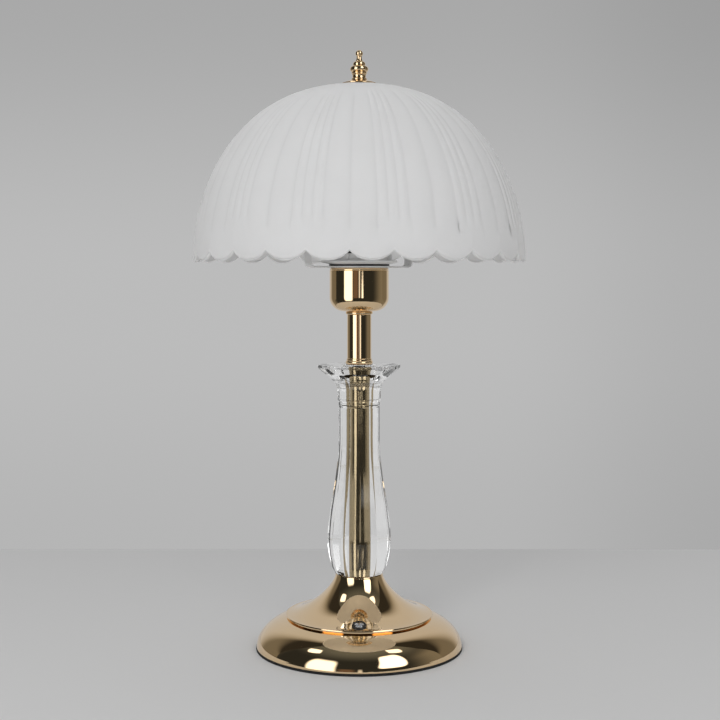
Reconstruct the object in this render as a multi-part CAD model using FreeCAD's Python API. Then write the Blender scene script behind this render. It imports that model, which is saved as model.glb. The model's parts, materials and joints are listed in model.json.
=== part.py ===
# Mushroom table lamp: a scalloped, ribbed glass dome on a faceted crystal column and a spun brass base.
# Millimetres, +Z up, the origin at the centre of the underside. The push button faces -Y.
import FreeCAD
import Part
import math
import os

from FreeCAD import Vector

# Base: pad, cover, spun shell and its iron weight
padOverhang = 0.2
padThickness = 1.8
padHoleRadius = 15.0
coverThickness = 1.0
coverScrewCount = 3
coverScrewTurn = 90
coverScrewCircle = 48.0
coverScrewRadius = 1.9
coverScrewHeadRadius = 3.4
coverScrewLength = 8.0
coverScrewSink = 1.5
coverScrewPoint = 0.6
coverScrewSlot = 0.9
coverScrewSlotDepth = 0.8
shellRimRadius = 77.2
shellLipHeight = 0.8
shellCrownRadius = 34.8
shellRise = 23.56
shellWall = 0.9
shellBowSide = 2.127
shellBowTop = 1.868
weightRimGap = 13.2
weightHeight = 14.0
weightChannelEnd = 5.0
weightBossRadius = 14.0
weightRound = 2.5
weightFillet = 4.0
nutRecessRadius = 14.0
nutRecessHeight = 10.4
wireChannelWidth = 12.6
wireChannelHeight = 10.2

# Details shared by several pieces
edgeBreak = 0.4
fitGap = 0.3
cutOver = 1.0
samePoint = 1e-6

# Cord inlet in the back of the shell
inletHeight = 9.6
inletBoreRadius = 3.2
inletBarrelRadius = 4.6
inletFlangeRadius = 7.4
inletLipRadius = 5.3
inletSetback = 0.2
inletLength = 10.4
inletLipThickness = 1.5

# Trumpet on the shell
trumpetNeckRadius = 17.8
trumpetDiscRadius = 55.2
trumpetRollRadius = 1.05
trumpetHeight = 32.0
trumpetNeckEdge = 1.0
trumpetSinkBow = 1.471
trumpetRiseBow = 1.434
trumpetWall = 0.9

# Push switch in the trumpet's disc
switchRadius = 47.0
bezelRadius = 5.35
bezelHeight = 1.2
bezelSink = 0.3
barrelRadius = 4.0
barrelLength = 7.0
bezelBoreDepth = 3.4
barrelHoleGap = 0.1
capRadius = 3.4
capSkirtDepth = 1.5
capShoulder = 1.5
capDome = 1.1
capStemRadius = 1.2
capStemLength = 5.8
capRunningGap = 0.08
switchNutAcross = 11.0
switchNutThickness = 2.0
switchNutGap = 0.8
switchBodyRadius = 6.0
switchBodyLength = 7.0
switchSocketDepth = 2.0
switchPinRadius = 0.6
switchPinLength = 3.0
switchPinSpacing = 5.0
switchHoleRadius = 8.3

# Rod and nuts that clamp the stack
rodRadius = 5.0
rodBoreRadius = 3.5
rodStandDown = 0.2
rodStandOut = 7.2
rodClearance = 0.2
nutAcross = 14.0
nutThickness = 4.0
washerRadius = 9.0
washerThickness = 1.0
nutChamfer = 0.8

# Crystal column, cut with twelve long facets
facetCount = 12
facetTurn = 3.7
crystalWasherRadius = 14.0
crystalWasherThickness = 0.4
crystalFootLean = 0.42
crystalBulb = [(18.4, 0.0), (21.2, 0.0515), (24.0, 0.1835), (21.9, 0.3613), (18.2, 0.5405),
               (16.1, 0.6807), (15.5, 0.8008)]
crystalCapHeight = 27.6
crystalStep = 0.8
crystalGrooveDrop = 4.1
crystalGrooveWidth = 1.2
crystalGrooveDepth = 0.5
crystalNeckDrop = 20.2
crystalFlareRadius = 12.0
crystalFlareTurn = 50.0
crystalRimRadius = 31.1
crystalRimHeight = 3.0
crystalRimBevel = 0.9
crystalHeight = 156.2
crystalBoreRadius = 6.8
crystalDishInner = 12.5
crystalDishDepth = 1.6
crystalRimWidth = 1.4
sleeveRadius = 6.2
sleeveWall = 0.7
sleeveDrop = 1.2

# Stem and holder cup
collarRadius = 10.3
collarHeight = 4.4
collarStep = 0.7
collarFootHeight = 3.0
upperCollarHeight = 2.4
upperCollarRoll = 0.8
stemRadius = 9.15
stemHeight = 33.1
stemWall = 0.8
cupRadius = 22.4
cupHeight = 32.8
cupRound = 10.5
cupWall = 0.8
cupBeadHeight = 1.8
cupBeadStep = 0.35

# Lampholder for a 27 mm screw cap
holderNutThickness = 3.0
holderCapRadius = 20.6
holderCapWall = 2.2
holderCapRound = 8.0
holderBossRadius = 8.0
holderBossHeight = 4.0
insulatorThickness = 5.0
insulatorDrop = 14.2
insulatorHollowRadius = 3.0
insulatorHollowDepth = 1.6
insulatorRadius = 18.0
terminalOffset = 8.0
terminalWidth = 6.0
terminalHeight = 4.0
terminalScrewRadius = 1.5
terminalScrewHead = 1.6
terminalSlotWidth = 0.6
terminalSlotDepth = 0.6
skirtFlangeRadius = 22.8
skirtFlangeThickness = 1.4
skirtJointDrop = 4.2
skirtThreadRadius = 19.8
skirtRise = 19.8
skirtMouthEdge = 1.0
skirtBoreRadius = 14.4
screwShellRadius = 14.0
screwShellWall = 0.5
screwShellMouthGap = 2.0
screwShellLipRadius = 9.5
contactWidth = 6.0
contactThickness = 0.6
contactReach = 8.0
contactFoot = 6.5
contactHeel = 2.5
contactKnee = 5.5
contactKneeHeight = 3.2
contactTip = 2.5
ringRadius = 28.9
ringEdge = 1.4
ringCone = 1.3
ringCollarRadius = 23.4
ringHeight = 8.0
gripCount = 12
gripWidth = 2.0
gripDepth = 1.4
gripTurn = 9.0

# Leads inside the rod
leadRadius = 1.0
leadSpacing = 2.3
leadBendBottom = 6.0
leadBendTop = 3.0
leadFloorGap = 1.8
leadTurnHeight = 1.6
leadEndRun = 2.6
terminalBlockLength = 12.0
terminalBlockHeight = 7.0
terminalBlockStart = 22.0
terminalBlockWidth = 10.6
blockScrewRadius = 1.6
blockScrewDepth = 2.0
blockScrewSpacing = 5.2

# Harp, a bow of flat strip that carries the glass
harpTurn = 25.0
harpRadius = 42.8
harpStripWidth = 12.0
harpStripThickness = 1.2
harpBend = 3.0
harpPlateRadius = 22.6
harpHeight = 124.7
harpHoleGap = 0.1

# Stud, seat and glass
studRadius = 2.95
studFootRun = 1.0
studTopGap = 0.4
studEdge = 0.5
studNutAcross = 10.0
studNutThickness = 3.0
seatHeight = 7.9
seatRadius = 15.0
seatFlange = 1.5
seatBossRadius = 5.5
seatFillet = 1.0
seatClearance = 0.45
glassRimRadius = 124.35
glassRise = 132.35
glassWall = 3.2
glassBowSide = 2.363
glassBowTop = 1.976
glassFlatRadius = 16.0
glassHoleRadius = 5.2
scallopCount = 26
scallopTurn = 4.0
scallopRadius = 20.6
scallopReach = 6.0
scallopDrop = 1.2
scallopBand = 11.4
fluteCount = 4
fluteSpacing = 3.46
fluteFoot = 21.4
fluteDepth = 0.42
fluteHalfTurn = 1.6
creaseFoot = 15.4
creaseDepth = 0.5
creaseHalfTurn = 2.2
grooveTopRadius = 24.0
grooveOutside = 0.5
grooveFlatness = 6
gasketRadius = 13.0
gasketThickness = 1.0

# Finial washer and knob
finialWasherRadius = 13.1
finialWasherHeight = 2.8
finialWasherWall = 0.8
finialWasherLip = 0.6
finialWasherBow = 1.9
finialWasherShoulder = 3.0
finialGasketRadius = 11.0
finialGasketThickness = 0.9
finialFootRadius = 6.0
finialFootHeight = 0.9
finialWaist = [(5.6, 1.2), (5.0, 2.2), (5.7, 3.4)]
finialBell = [(5.7, 3.4), (6.1, 4.4), (4.9, 6.0)]
finialBall = [(5.2, 6.4), (7.0, 8.0), (5.4, 10.6)]
finialShoulder = [(4.6, 11.0), (4.7, 12.4), (3.0, 14.2)]
finialNeck = [(3.0, 14.2), (2.1, 16.2), (2.0, 18.0)]
finialTipRadius = 2.8
finialBoreDepth = 12.4
finialBoreGap = 0.08
finialBorePoint = 1.2
finialRestGap = 0.2

# Bulb with a 27 mm screw cap
bulbCapRadius = 13.0
bulbCapLength = 21.5
bulbTipRadius = 4.5
bulbTipHeight = 1.6
bulbTipRise = 0.8
bulbInsulatorHeight = 3.4
bulbInsulatorFlare = 3.6
bulbTipFlange = 1.0
bulbCapShoulder = 3.0
bulbCapRound = 2.4
bulbGlobeRadius = 30.0
bulbNeckRadius = 14.0
bulbNeckHeight = 1.5
bulbWaistRadius = 17.0
bulbBodyTopRadius = 24.5
bulbBodyHeight = 29.0
bulbGlobeWall = 1.0


def archHeight(radius, edge, crown, rise, bowSide, bowTop):
    """How high a quarter of a superellipse stands over its edge at a radius."""
    cosine = ((radius - crown) / (edge - crown)) ** (bowSide / 2)
    return rise * math.sqrt(1 - cosine ** 2) ** (2 / bowTop)


# Heights and radii that follow from the stack
padRadius = shellRimRadius + padOverhang
weightRadius = shellRimRadius - weightRimGap
shellBottom = padThickness
coverTop = padThickness + coverThickness
shellEdge = padThickness + shellLipHeight
shellCrown = shellEdge + shellRise
inletOuterReach = shellRimRadius - inletSetback
inletInnerReach = inletOuterReach - inletLength
nutTop = coverTop + nutRecessHeight - washerThickness
discEdge = trumpetDiscRadius - trumpetRollRadius
trumpetFoot = shellEdge + archHeight(discEdge, shellRimRadius, shellCrownRadius, shellRise,
                                     shellBowSide, shellBowTop)
trumpetTop = trumpetFoot + trumpetHeight
crystalBottom = trumpetTop + crystalWasherThickness
crystalTop = crystalBottom + crystalHeight
stemBottom = crystalTop + crystalWasherThickness + collarHeight
stemTop = stemBottom + stemHeight
cupBottom = stemTop + upperCollarHeight
cupTop = cupBottom + cupHeight
rodBottom = nutTop - nutThickness - rodStandDown
rodTop = cupBottom + rodStandOut
rodHole = rodRadius + rodClearance
insulatorBottom = cupTop - insulatorDrop
insulatorTop = insulatorBottom + insulatorThickness
skirtJoint = cupTop - skirtJointDrop
skirtMouth = cupTop + skirtRise
harpPlateTop = cupTop + harpStripThickness
flangeTop = harpPlateTop + skirtFlangeThickness
harpTop = cupTop + harpHeight
seatTop = harpTop + seatHeight
glassSeat = seatTop + fitGap + gasketThickness
glassTop = glassSeat + glassWall
glassRimHeight = glassTop - archHeight(glassFlatRadius, glassRimRadius, 0, glassRise,
                                       glassBowSide, glassBowTop)
scallopBottom = glassRimHeight - scallopDrop
finialWasherBottom = glassTop + finialGasketThickness + fitGap
finialBottom = finialWasherBottom + finialWasherHeight + finialRestGap
studHole = studRadius + seatClearance
studBottom = harpTop - harpStripThickness - studNutThickness - studFootRun
studTop = finialBottom + finialBoreDepth - studTopGap
bulbBottom = insulatorTop + contactReach + fitGap
bulbCapBottom = bulbBottom + bulbTipHeight + bulbInsulatorHeight
bulbBodyBottom = bulbCapBottom + bulbCapLength
bulbBodyTop = bulbBodyBottom + bulbBodyHeight


def rz(radius, height):
    """A point of a half profile: its distance from the axis and its height."""
    return Vector(radius, 0, height)


def joinOutline(items):
    """Close an outline of points and curves, each curve taken from its nearer end."""
    edges = []
    pen = None
    first = None
    for item in items:
        start = item if isinstance(item, Vector) else item.valueAt(item.FirstParameter)
        end = item if isinstance(item, Vector) else item.valueAt(item.LastParameter)
        if pen is not None and pen.distanceToPoint(end) < pen.distanceToPoint(start):
            start, end = end, start
        if pen is not None and pen.distanceToPoint(start) > samePoint:
            edges.append(Part.makeLine(pen, start))
        if not isinstance(item, Vector):
            edges.append(item)
        if first is None:
            first = start
        pen = end
    if pen.distanceToPoint(first) > samePoint:
        edges.append(Part.makeLine(pen, first))
    return Part.Wire(edges)


def lathe(items):
    """Turn a closed half profile about the Z axis."""
    return Part.Face(joinOutline(items)).revolve(Vector(0, 0, 0), Vector(0, 0, 1), 360)


def arcThrough(start, middle, end):
    return Part.Arc(start, middle, end).toShape()


def arcOf(points, bottom):
    """The arc through three profile points whose heights are counted from a bottom."""
    return arcThrough(*[rz(r, bottom + z) for r, z in points])


def roundCorner(radius, height, bend, rise=1):
    """A quarter arc from a flat face to an upright wall, at a lower edge, or an upper one if rise is -1."""
    half = math.sqrt(0.5)
    middle = rz(radius - bend + bend * half, height + rise * bend * (1 - half))
    return arcThrough(rz(radius - bend, height), middle, rz(radius, height + rise * bend))


def capArc(radius, height, rise):
    """A round cap from its edge up, or down, to its pole on the axis."""
    whole = (radius ** 2 + rise ** 2) / (2 * abs(rise))
    sign = 1 if rise > 0 else -1
    centre = height + rise - sign * whole
    half = math.atan2(radius, sign * (height - centre)) / 2
    middle = rz(whole * math.sin(half), centre + sign * whole * math.cos(half))
    return arcThrough(rz(radius, height), middle, rz(0, height + rise))


def ring(outer, inner, bottom, height):
    """A flat ring, or a plain tube when it is tall."""
    body = Part.makeCylinder(outer, height, Vector(0, 0, bottom))
    return body.cut(Part.makeCylinder(inner, height + 2 * cutOver, Vector(0, 0, bottom - cutOver)))


def splineThrough(path):
    curve = Part.BSplineCurve()
    curve.interpolate(path)
    return curve.toShape()


def spunPoint(edge, crown, bowSide, bowTop, turn, inset):
    """A point of a superellipse at a turn in degrees, 0 at its edge and 90 at its crown, moved inwards."""
    dr = edge.x - crown.x
    dz = crown.z - edge.z
    c = max(math.cos(math.radians(turn)), 1e-12)
    s = max(math.sin(math.radians(turn)), 1e-12)
    slopeR = -dr * (2 / bowSide) * c ** (2 / bowSide - 1) * s
    slopeZ = dz * (2 / bowTop) * s ** (2 / bowTop - 1) * c
    length = math.hypot(slopeR, slopeZ)
    return rz(crown.x + dr * c ** (2 / bowSide) - inset * slopeZ / length,
              edge.z + dz * s ** (2 / bowTop) + inset * slopeR / length)


def spunQuarter(edge, crown, bowSide, bowTop, inset, stop=90.0, points=13):
    """A quarter of a superellipse from its edge point up to its crown point, moved inwards by a wall."""
    return splineThrough([spunPoint(edge, crown, bowSide, bowTop, stop * i / (points - 1), inset)
                          for i in range(points)])


def hexNut(across, bore, bottom, thickness, chamfer):
    """A hexagon nut with its corners turned off above and below."""
    corner = across / math.sqrt(3)
    angles = [math.radians(60 * i) for i in range(7)]
    points = [Vector(corner * math.cos(a), corner * math.sin(a), bottom) for a in angles]
    block = Part.Face(Part.makePolygon(points)).extrude(Vector(0, 0, thickness))
    top = bottom + thickness
    face = (across / 2 + corner) / 2
    side = face + chamfer * math.sqrt(3)
    turned = lathe([rz(0, bottom), rz(face, bottom), rz(side, bottom + chamfer), rz(side, top - chamfer),
                    rz(face, top), rz(0, top)])
    hole = Part.makeCylinder(bore, thickness + 2 * cutOver, Vector(0, 0, bottom - cutOver))
    return block.common(turned).cut(hole)


def polar(shape, count, turn=0.0):
    """Copies of a shape, evenly spaced round the Z axis."""
    copies = []
    for i in range(count):
        copy = shape.copy()
        copy.rotate(Vector(0, 0, 0), Vector(0, 0, 1), turn + 360.0 * i / count)
        copies.append(copy)
    return copies


def pipe(points, bends, radius):
    """A round wire along straight runs, with an arc of its own bend radius at each corner."""
    edges = []
    pen = points[0]
    for before, corner, after, bend in zip(points, points[1:], points[2:], bends):
        back = (before - corner).normalize()
        ahead = (after - corner).normalize()
        half = back.getAngle(ahead) / 2
        reach = bend / math.tan(half)
        start = corner + back * reach
        end = corner + ahead * reach
        middle = corner + (back + ahead).normalize() * (bend / math.sin(half) - bend)
        edges.append(Part.makeLine(pen, start))
        edges.append(arcThrough(start, middle, end))
        pen = end
    edges.append(Part.makeLine(pen, points[-1]))
    spine = Part.Wire(edges)
    section = Part.Wire(Part.makeCircle(radius, points[0], points[1] - points[0]))
    return spine.makePipeShell([section], True, False)


# Base

def shellCurve(inset):
    return spunQuarter(rz(shellRimRadius, shellEdge), rz(shellCrownRadius, shellCrown),
                       shellBowSide, shellBowTop, inset)


def baseShell():
    lip = shellRimRadius - shellLipHeight
    shell = lathe([rz(lip - shellWall, shellBottom), rz(lip, shellBottom), shellCurve(0.0),
                   rz(rodHole, shellCrown), rz(rodHole, shellCrown - shellWall), shellCurve(shellWall)])
    shell = shell.cut(switchPocket())
    return shell.cut(alongInlet(inletBarrelRadius, inletInnerReach - cutOver, padRadius + cutOver))


def basePad():
    pad = ring(padRadius, padHoleRadius, 0, padThickness)
    hole = Part.makeCylinder(coverScrewHeadRadius + fitGap, padThickness + 2 * cutOver,
                             Vector(coverScrewCircle, 0, -cutOver))
    return pad.cut(Part.makeCompound(polar(hole, coverScrewCount, coverScrewTurn)))


def screwSet():
    """The countersunk screws that hold the cover, standing on the pad's plane with their points up."""
    tip = padThickness + coverScrewLength
    screw = lathe([rz(0, padThickness), rz(coverScrewHeadRadius, padThickness),
                   rz(coverScrewRadius, padThickness + coverScrewSink), rz(coverScrewRadius, tip),
                   rz(0, tip + coverScrewPoint)])
    screw.translate(Vector(coverScrewCircle, 0, 0))
    return Part.makeCompound(polar(screw, coverScrewCount, coverScrewTurn))


def coverScrews():
    length = coverScrewHeadRadius * math.sqrt(2)
    corner = Vector(coverScrewCircle - length / 2, -coverScrewSlot / 2, padThickness)
    slot = Part.makeBox(length, coverScrewSlot, coverScrewSlotDepth, corner)
    cross = slot.copy()
    cross.rotate(Vector(coverScrewCircle, 0, 0), Vector(0, 0, 1), 90)
    cuts = polar(slot, coverScrewCount, coverScrewTurn) + polar(cross, coverScrewCount, coverScrewTurn)
    return screwSet().cut(Part.makeCompound(cuts))


def bottomCover():
    cover = ring(shellRimRadius - shellLipHeight - shellWall, padHoleRadius, padThickness, coverThickness)
    return cover.cut(screwSet())


def baseWeight():
    """A cast ring with a boss under the shell's crown, hollowed for the nut, the leads and the switch."""
    top = coverTop + weightHeight
    crown = shellCrown - shellWall
    weight = lathe([rz(rodHole, coverTop), rz(weightRadius, coverTop),
                    rz(weightRadius, top - weightRound), rz(weightRadius - weightRound, top),
                    rz(weightBossRadius + weightFillet, top), rz(weightBossRadius, top + weightFillet),
                    rz(weightBossRadius, crown), rz(rodHole, crown)])
    recess = Part.makeCylinder(nutRecessRadius, nutRecessHeight, Vector(0, 0, coverTop))
    channelLength = weightRadius + weightChannelEnd + switchRadius
    channel = Part.makeBox(wireChannelWidth, channelLength, wireChannelHeight,
                           Vector(-wireChannelWidth / 2, -switchRadius, coverTop))
    return weight.cut(screwSet()).cut(recess).cut(channel).cut(switchPocket())


# Cord inlet

def alongInlet(radius, start, end):
    return Part.makeCylinder(radius, end - start, Vector(0, start, inletHeight), Vector(0, 1, 0))


def cordGrommet():
    """A moulded bush whose outer flange is shaped to the shell, with a lip behind the wall."""
    outside = Part.makeCone(inletFlangeRadius, inletBarrelRadius, inletOuterReach - inletInnerReach,
                            Vector(0, inletInnerReach, inletHeight), Vector(0, 1, 0))
    lip = shellRimRadius - shellLipHeight
    solidShell = lathe([rz(0, 0), rz(lip, 0), rz(lip, shellBottom), shellCurve(0.0), rz(0, shellCrown)])
    flange = outside.cut(solidShell)
    barrel = alongInlet(inletBarrelRadius, inletInnerReach, inletOuterReach)
    lip = alongInlet(inletLipRadius, inletInnerReach, inletInnerReach + inletLipThickness)
    bore = alongInlet(inletBoreRadius, inletInnerReach - cutOver, inletOuterReach + cutOver)
    return flange.fuse(barrel).fuse(lip).cut(bore).removeSplitter()


# Trumpet

def trumpetCurve(inset):
    """The flared side, from the neck down to the disc."""
    neck = rz(trumpetNeckRadius, trumpetTop - trumpetNeckEdge)
    disc = rz(discEdge, trumpetFoot + 2 * trumpetRollRadius)
    return spunQuarter(neck, disc, trumpetSinkBow, trumpetRiseBow, -inset)


def baseTrumpet():
    """A spun flare with a rolled rim, closed at the neck round the rod."""
    outer = trumpetCurve(0.0)
    discTop = trumpetFoot + 2 * trumpetRollRadius
    roll = arcThrough(rz(discEdge, discTop), rz(trumpetDiscRadius, trumpetFoot + trumpetRollRadius),
                      rz(discEdge, trumpetFoot))
    neck = roundCorner(trumpetNeckRadius, trumpetTop, trumpetNeckEdge, -1)
    shell = lathe([rz(rodHole, trumpetTop), neck, outer, roll, rz(discEdge, discTop - trumpetWall),
                   trumpetCurve(trumpetWall), rz(rodHole, trumpetTop - trumpetWall)])
    return shell.cut(alongSwitch(barrelRadius + barrelHoleGap, -barrelLength, bezelHeight))


# Push switch

def switchSeat():
    """Where the switch's axis leaves the trumpet, and the outward direction of that axis."""
    curve = trumpetCurve(0.0).Curve
    line = Part.Line(rz(switchRadius, 0), rz(switchRadius, trumpetTop))
    hit = curve.intersect(line)[0]
    u = curve.parameter(Vector(hit.X, hit.Y, hit.Z))
    along = curve.tangent(u)[0]
    out = Vector(-along.z, 0, along.x)
    if out.z < 0:
        out = out * -1
    return Vector(0, -hit.X, hit.Z), Vector(0, -out.x, out.z)


seatPoint, seatAxis = switchSeat()


def alongSwitch(radius, start, end, offset=0.0):
    """A cylinder on the switch's axis, from one depth to another, above zero outside the trumpet."""
    base = seatPoint + seatAxis * start + Vector(offset, 0, 0)
    return Part.makeCylinder(radius, end - start, base, seatAxis)


def onSwitch(shape):
    """Move a shape made about the Z axis onto the switch's axis."""
    turned = shape.copy()
    turned.Placement = FreeCAD.Placement(seatPoint, FreeCAD.Rotation(Vector(0, 0, 1), seatAxis))
    return turned


def switchPocket():
    """The room that the switch needs in the shell and the weight."""
    return alongSwitch(switchHoleRadius, -barrelLength - switchBodyLength - 2 * switchPinLength,
                       bezelHeight)


def switchBezel():
    """A flange seated on the trumpet, with a threaded barrel below it and a bore for the button."""
    flange = lathe([rz(0, -bezelSink), rz(bezelRadius, -bezelSink),
                    rz(bezelRadius, bezelHeight - edgeBreak),
                    rz(bezelRadius - edgeBreak, bezelHeight), rz(0, bezelHeight)])
    flange = onSwitch(flange).cut(baseTrumpet())
    barrel = alongSwitch(barrelRadius, -barrelLength, bezelSink)
    bore = alongSwitch(capRadius + capRunningGap, -bezelBoreDepth, bezelHeight + cutOver)
    stem = alongSwitch(capStemRadius + capRunningGap, -barrelLength - cutOver, 0)
    return flange.fuse(barrel).cut(bore).cut(stem).removeSplitter()


def buttonCap():
    dome = capArc(capRadius, capShoulder, capDome)
    cap = lathe([rz(0, -capStemLength), rz(capStemRadius, -capStemLength),
                 rz(capStemRadius, -capSkirtDepth), rz(capRadius, -capSkirtDepth), dome])
    return onSwitch(cap)


def switchNut():
    bottom = -trumpetWall - switchNutGap - switchNutThickness
    return onSwitch(hexNut(switchNutAcross, barrelRadius, bottom, switchNutThickness, edgeBreak))


def switchBody():
    start = -barrelLength - switchBodyLength
    body = alongSwitch(switchBodyRadius, start, -barrelLength)
    return body.cut(alongSwitch(capStemRadius + capRunningGap, -barrelLength - switchSocketDepth,
                                -barrelLength + cutOver))


def switchPins():
    start = -barrelLength - switchBodyLength
    pins = [alongSwitch(switchPinRadius, start - switchPinLength, start, side * switchPinSpacing / 2)
            for side in (-1, 1)]
    return Part.makeCompound(pins)


# Rod, washers and nuts

def threadedRod():
    return ring(rodRadius, rodBoreRadius, rodBottom, rodTop - rodBottom)


def bottomWasher():
    return ring(washerRadius, rodHole, nutTop, washerThickness)


def bottomNut():
    return hexNut(nutAcross, rodRadius, nutTop - nutThickness, nutThickness, nutChamfer)


def cupWasher():
    return ring(washerRadius, rodHole, cupBottom + cupWall, washerThickness)


def cupNut():
    return hexNut(nutAcross, rodRadius, cupBottom + cupWall + washerThickness, holderNutThickness,
                  nutChamfer)


# Crystal column

def crystalSide(flat):
    """The right half of the column's outline across its flats, from its foot to its rim."""
    waist = crystalBulb[-1][0] * flat
    neck = waist + crystalStep
    rim = crystalRimRadius * flat
    waistHeight = crystalHeight - crystalCapHeight
    waistTop = crystalBottom + waistHeight
    grooveBottom = waistTop - crystalGrooveDrop
    rimBottom = crystalTop - crystalRimHeight
    bulb = Part.BSplineCurve()
    bulb.interpolate(Points=[rz(r * flat, crystalBottom + share * waistHeight) for r, share in crystalBulb],
                     InitialTangent=Vector(crystalFootLean, 0, 1), FinalTangent=Vector(0, 0, 1))
    flare = []
    for turn in (0, crystalFlareTurn / 2, crystalFlareTurn):
        t = math.radians(turn)
        flare.append(rz(neck + crystalFlareRadius * (1 - math.cos(t)),
                        crystalTop - crystalNeckDrop + crystalFlareRadius * math.sin(t)))
    return [bulb.toShape(), rz(waist, grooveBottom),
            rz(waist - crystalGrooveDepth, grooveBottom + crystalGrooveWidth / 2),
            rz(waist, grooveBottom + crystalGrooveWidth), rz(waist, waistTop),
            rz(neck, waistTop + crystalStep),
            arcThrough(*flare), rz(rim - crystalRimBevel, rimBottom),
            rz(rim, rimBottom + crystalRimBevel),
            rz(rim, crystalTop - edgeBreak), rz(rim - edgeBreak, crystalTop)]


def crystalColumn():
    """Each pair of opposite facets is one extruded outline, and the column is what they all share."""
    flat = math.cos(math.pi / facetCount)
    half = Part.Face(joinOutline([rz(0, crystalBottom)] + crystalSide(flat) + [rz(0, crystalTop)]))
    reach = crystalRimRadius + cutOver
    right = half.extrude(Vector(0, 2 * reach, 0))
    right.translate(Vector(0, -reach, 0))
    left = right.copy()
    left.rotate(Vector(0, 0, 0), Vector(0, 0, 1), 180)
    slab = right.fuse(left).removeSplitter()
    step = 360.0 / facetCount
    slabs = []
    for i in range(facetCount // 2):
        turned = slab.copy()
        turned.rotate(Vector(0, 0, 0), Vector(0, 0, 1), facetTurn + step / 2 + step * i)
        slabs.append(turned)
    column = slabs[0]
    for turned in slabs[1:]:
        column = column.common(turned)
    dishEdge = crystalRimRadius * flat - crystalRimWidth
    dish = lathe([rz(crystalDishInner, crystalTop + cutOver),
                  rz(crystalDishInner, crystalTop - crystalDishDepth),
                  rz(dishEdge, crystalTop), rz(dishEdge, crystalTop + cutOver)])
    bore = Part.makeCylinder(crystalBoreRadius, crystalHeight + 2 * cutOver,
                             Vector(0, 0, crystalBottom - cutOver))
    return column.cut(dish).cut(bore)


def crystalLowerWasher():
    return ring(crystalWasherRadius, rodHole, trumpetTop, crystalWasherThickness)


def crystalUpperWasher():
    return ring(collarRadius - fitGap, rodHole, crystalTop, crystalWasherThickness)


def innerSleeve():
    return ring(sleeveRadius, sleeveRadius - sleeveWall, crystalBottom, crystalHeight - sleeveDrop)


# Stem and cup

def lowerCollar():
    """A rounded foot with a narrower step above it."""
    bottom = crystalTop + crystalWasherThickness
    top = bottom + collarHeight
    waist = collarRadius - collarStep
    foot = arcThrough(rz(waist, bottom + collarFootHeight),
                      rz(collarRadius, bottom + collarFootHeight / 2),
                      rz(waist, bottom))
    return lathe([rz(rodHole, bottom), rz(rodHole, top), rz(waist - edgeBreak, top),
                  rz(waist, top - edgeBreak), foot])


def stemTube():
    return ring(stemRadius, stemRadius - stemWall, stemBottom, stemHeight)


def upperCollar():
    """A turned ring with a rounded bead round its edge."""
    top = stemTop + upperCollarHeight
    bead = arcThrough(rz(collarRadius - upperCollarRoll, top),
                      rz(collarRadius, stemTop + upperCollarHeight / 2),
                      rz(collarRadius - upperCollarRoll, stemTop))
    return lathe([rz(rodHole, stemTop), rz(rodHole, top), bead])


def holderCup():
    """A spun cup with a round bottom, and a bead turned in round its mouth."""
    beadFoot = cupTop - cupBeadHeight
    beadRadius = cupRadius - cupBeadStep
    inside = cupRadius - cupWall
    return lathe([rz(rodHole, cupBottom), roundCorner(cupRadius, cupBottom, cupRound),
                  rz(cupRadius, beadFoot - edgeBreak), rz(beadRadius, beadFoot),
                  rz(beadRadius, cupTop - edgeBreak),
                  rz(beadRadius - edgeBreak, cupTop), rz(beadRadius - cupWall, cupTop),
                  rz(beadRadius - cupWall, beadFoot - edgeBreak), rz(inside, beadFoot - 2 * edgeBreak),
                  roundCorner(inside, cupBottom + cupWall, cupRound - cupWall),
                  rz(rodHole, cupBottom + cupWall)])


# Lampholder

def holderCap():
    """The moulded lower half, screwed on the rod by its boss."""
    bottom = cupBottom + cupWall + washerThickness + holderNutThickness + fitGap
    inside = holderCapRadius - holderCapWall
    return lathe([rz(rodRadius, bottom), roundCorner(holderCapRadius, bottom, holderCapRound),
                  rz(holderCapRadius, skirtJoint), rz(inside, skirtJoint),
                  roundCorner(inside, bottom + holderCapWall, holderCapRound - holderCapWall),
                  rz(holderBossRadius, bottom + holderCapWall),
                  rz(holderBossRadius, bottom + holderBossHeight),
                  rz(rodRadius, bottom + holderBossHeight)])


def holderInsulator():
    """The porcelain disc that carries the live parts, hollowed below its middle."""
    disc = Part.makeCylinder(insulatorRadius, insulatorThickness, Vector(0, 0, insulatorBottom))
    return disc.cut(Part.makeCylinder(insulatorHollowRadius, insulatorHollowDepth,
                                      Vector(0, 0, insulatorBottom)))


def holderTerminals():
    """Two brass clamp blocks under the disc, each with a slotted screw in its outer side."""
    bottom = insulatorBottom - terminalHeight
    block = Part.makeBox(terminalWidth, terminalWidth, terminalHeight,
                         Vector(terminalOffset - terminalWidth / 2, -terminalWidth / 2, bottom))
    head = Vector(terminalOffset + terminalWidth / 2, 0, bottom + terminalHeight / 2)
    screw = Part.makeCylinder(terminalScrewRadius, terminalScrewHead, head, Vector(1, 0, 0))
    slotCorner = head + Vector(terminalScrewHead - terminalSlotDepth, -2 * terminalScrewRadius,
                               -terminalSlotWidth / 2)
    slot = Part.makeBox(terminalScrewHead, 4 * terminalScrewRadius, terminalSlotWidth, slotCorner)
    return Part.makeCompound(polar(block.fuse(screw.cut(slot)).removeSplitter(), 2))


def screwShell():
    """The threaded metal cup that takes the bulb's cap."""
    inner = screwShellRadius - screwShellWall
    top = skirtMouth - screwShellMouthGap
    return lathe([rz(screwShellLipRadius, insulatorTop), rz(screwShellRadius, insulatorTop),
                  rz(screwShellRadius, top), rz(inner, top), rz(inner, insulatorTop + screwShellWall),
                  rz(screwShellLipRadius, insulatorTop + screwShellWall)])


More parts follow.
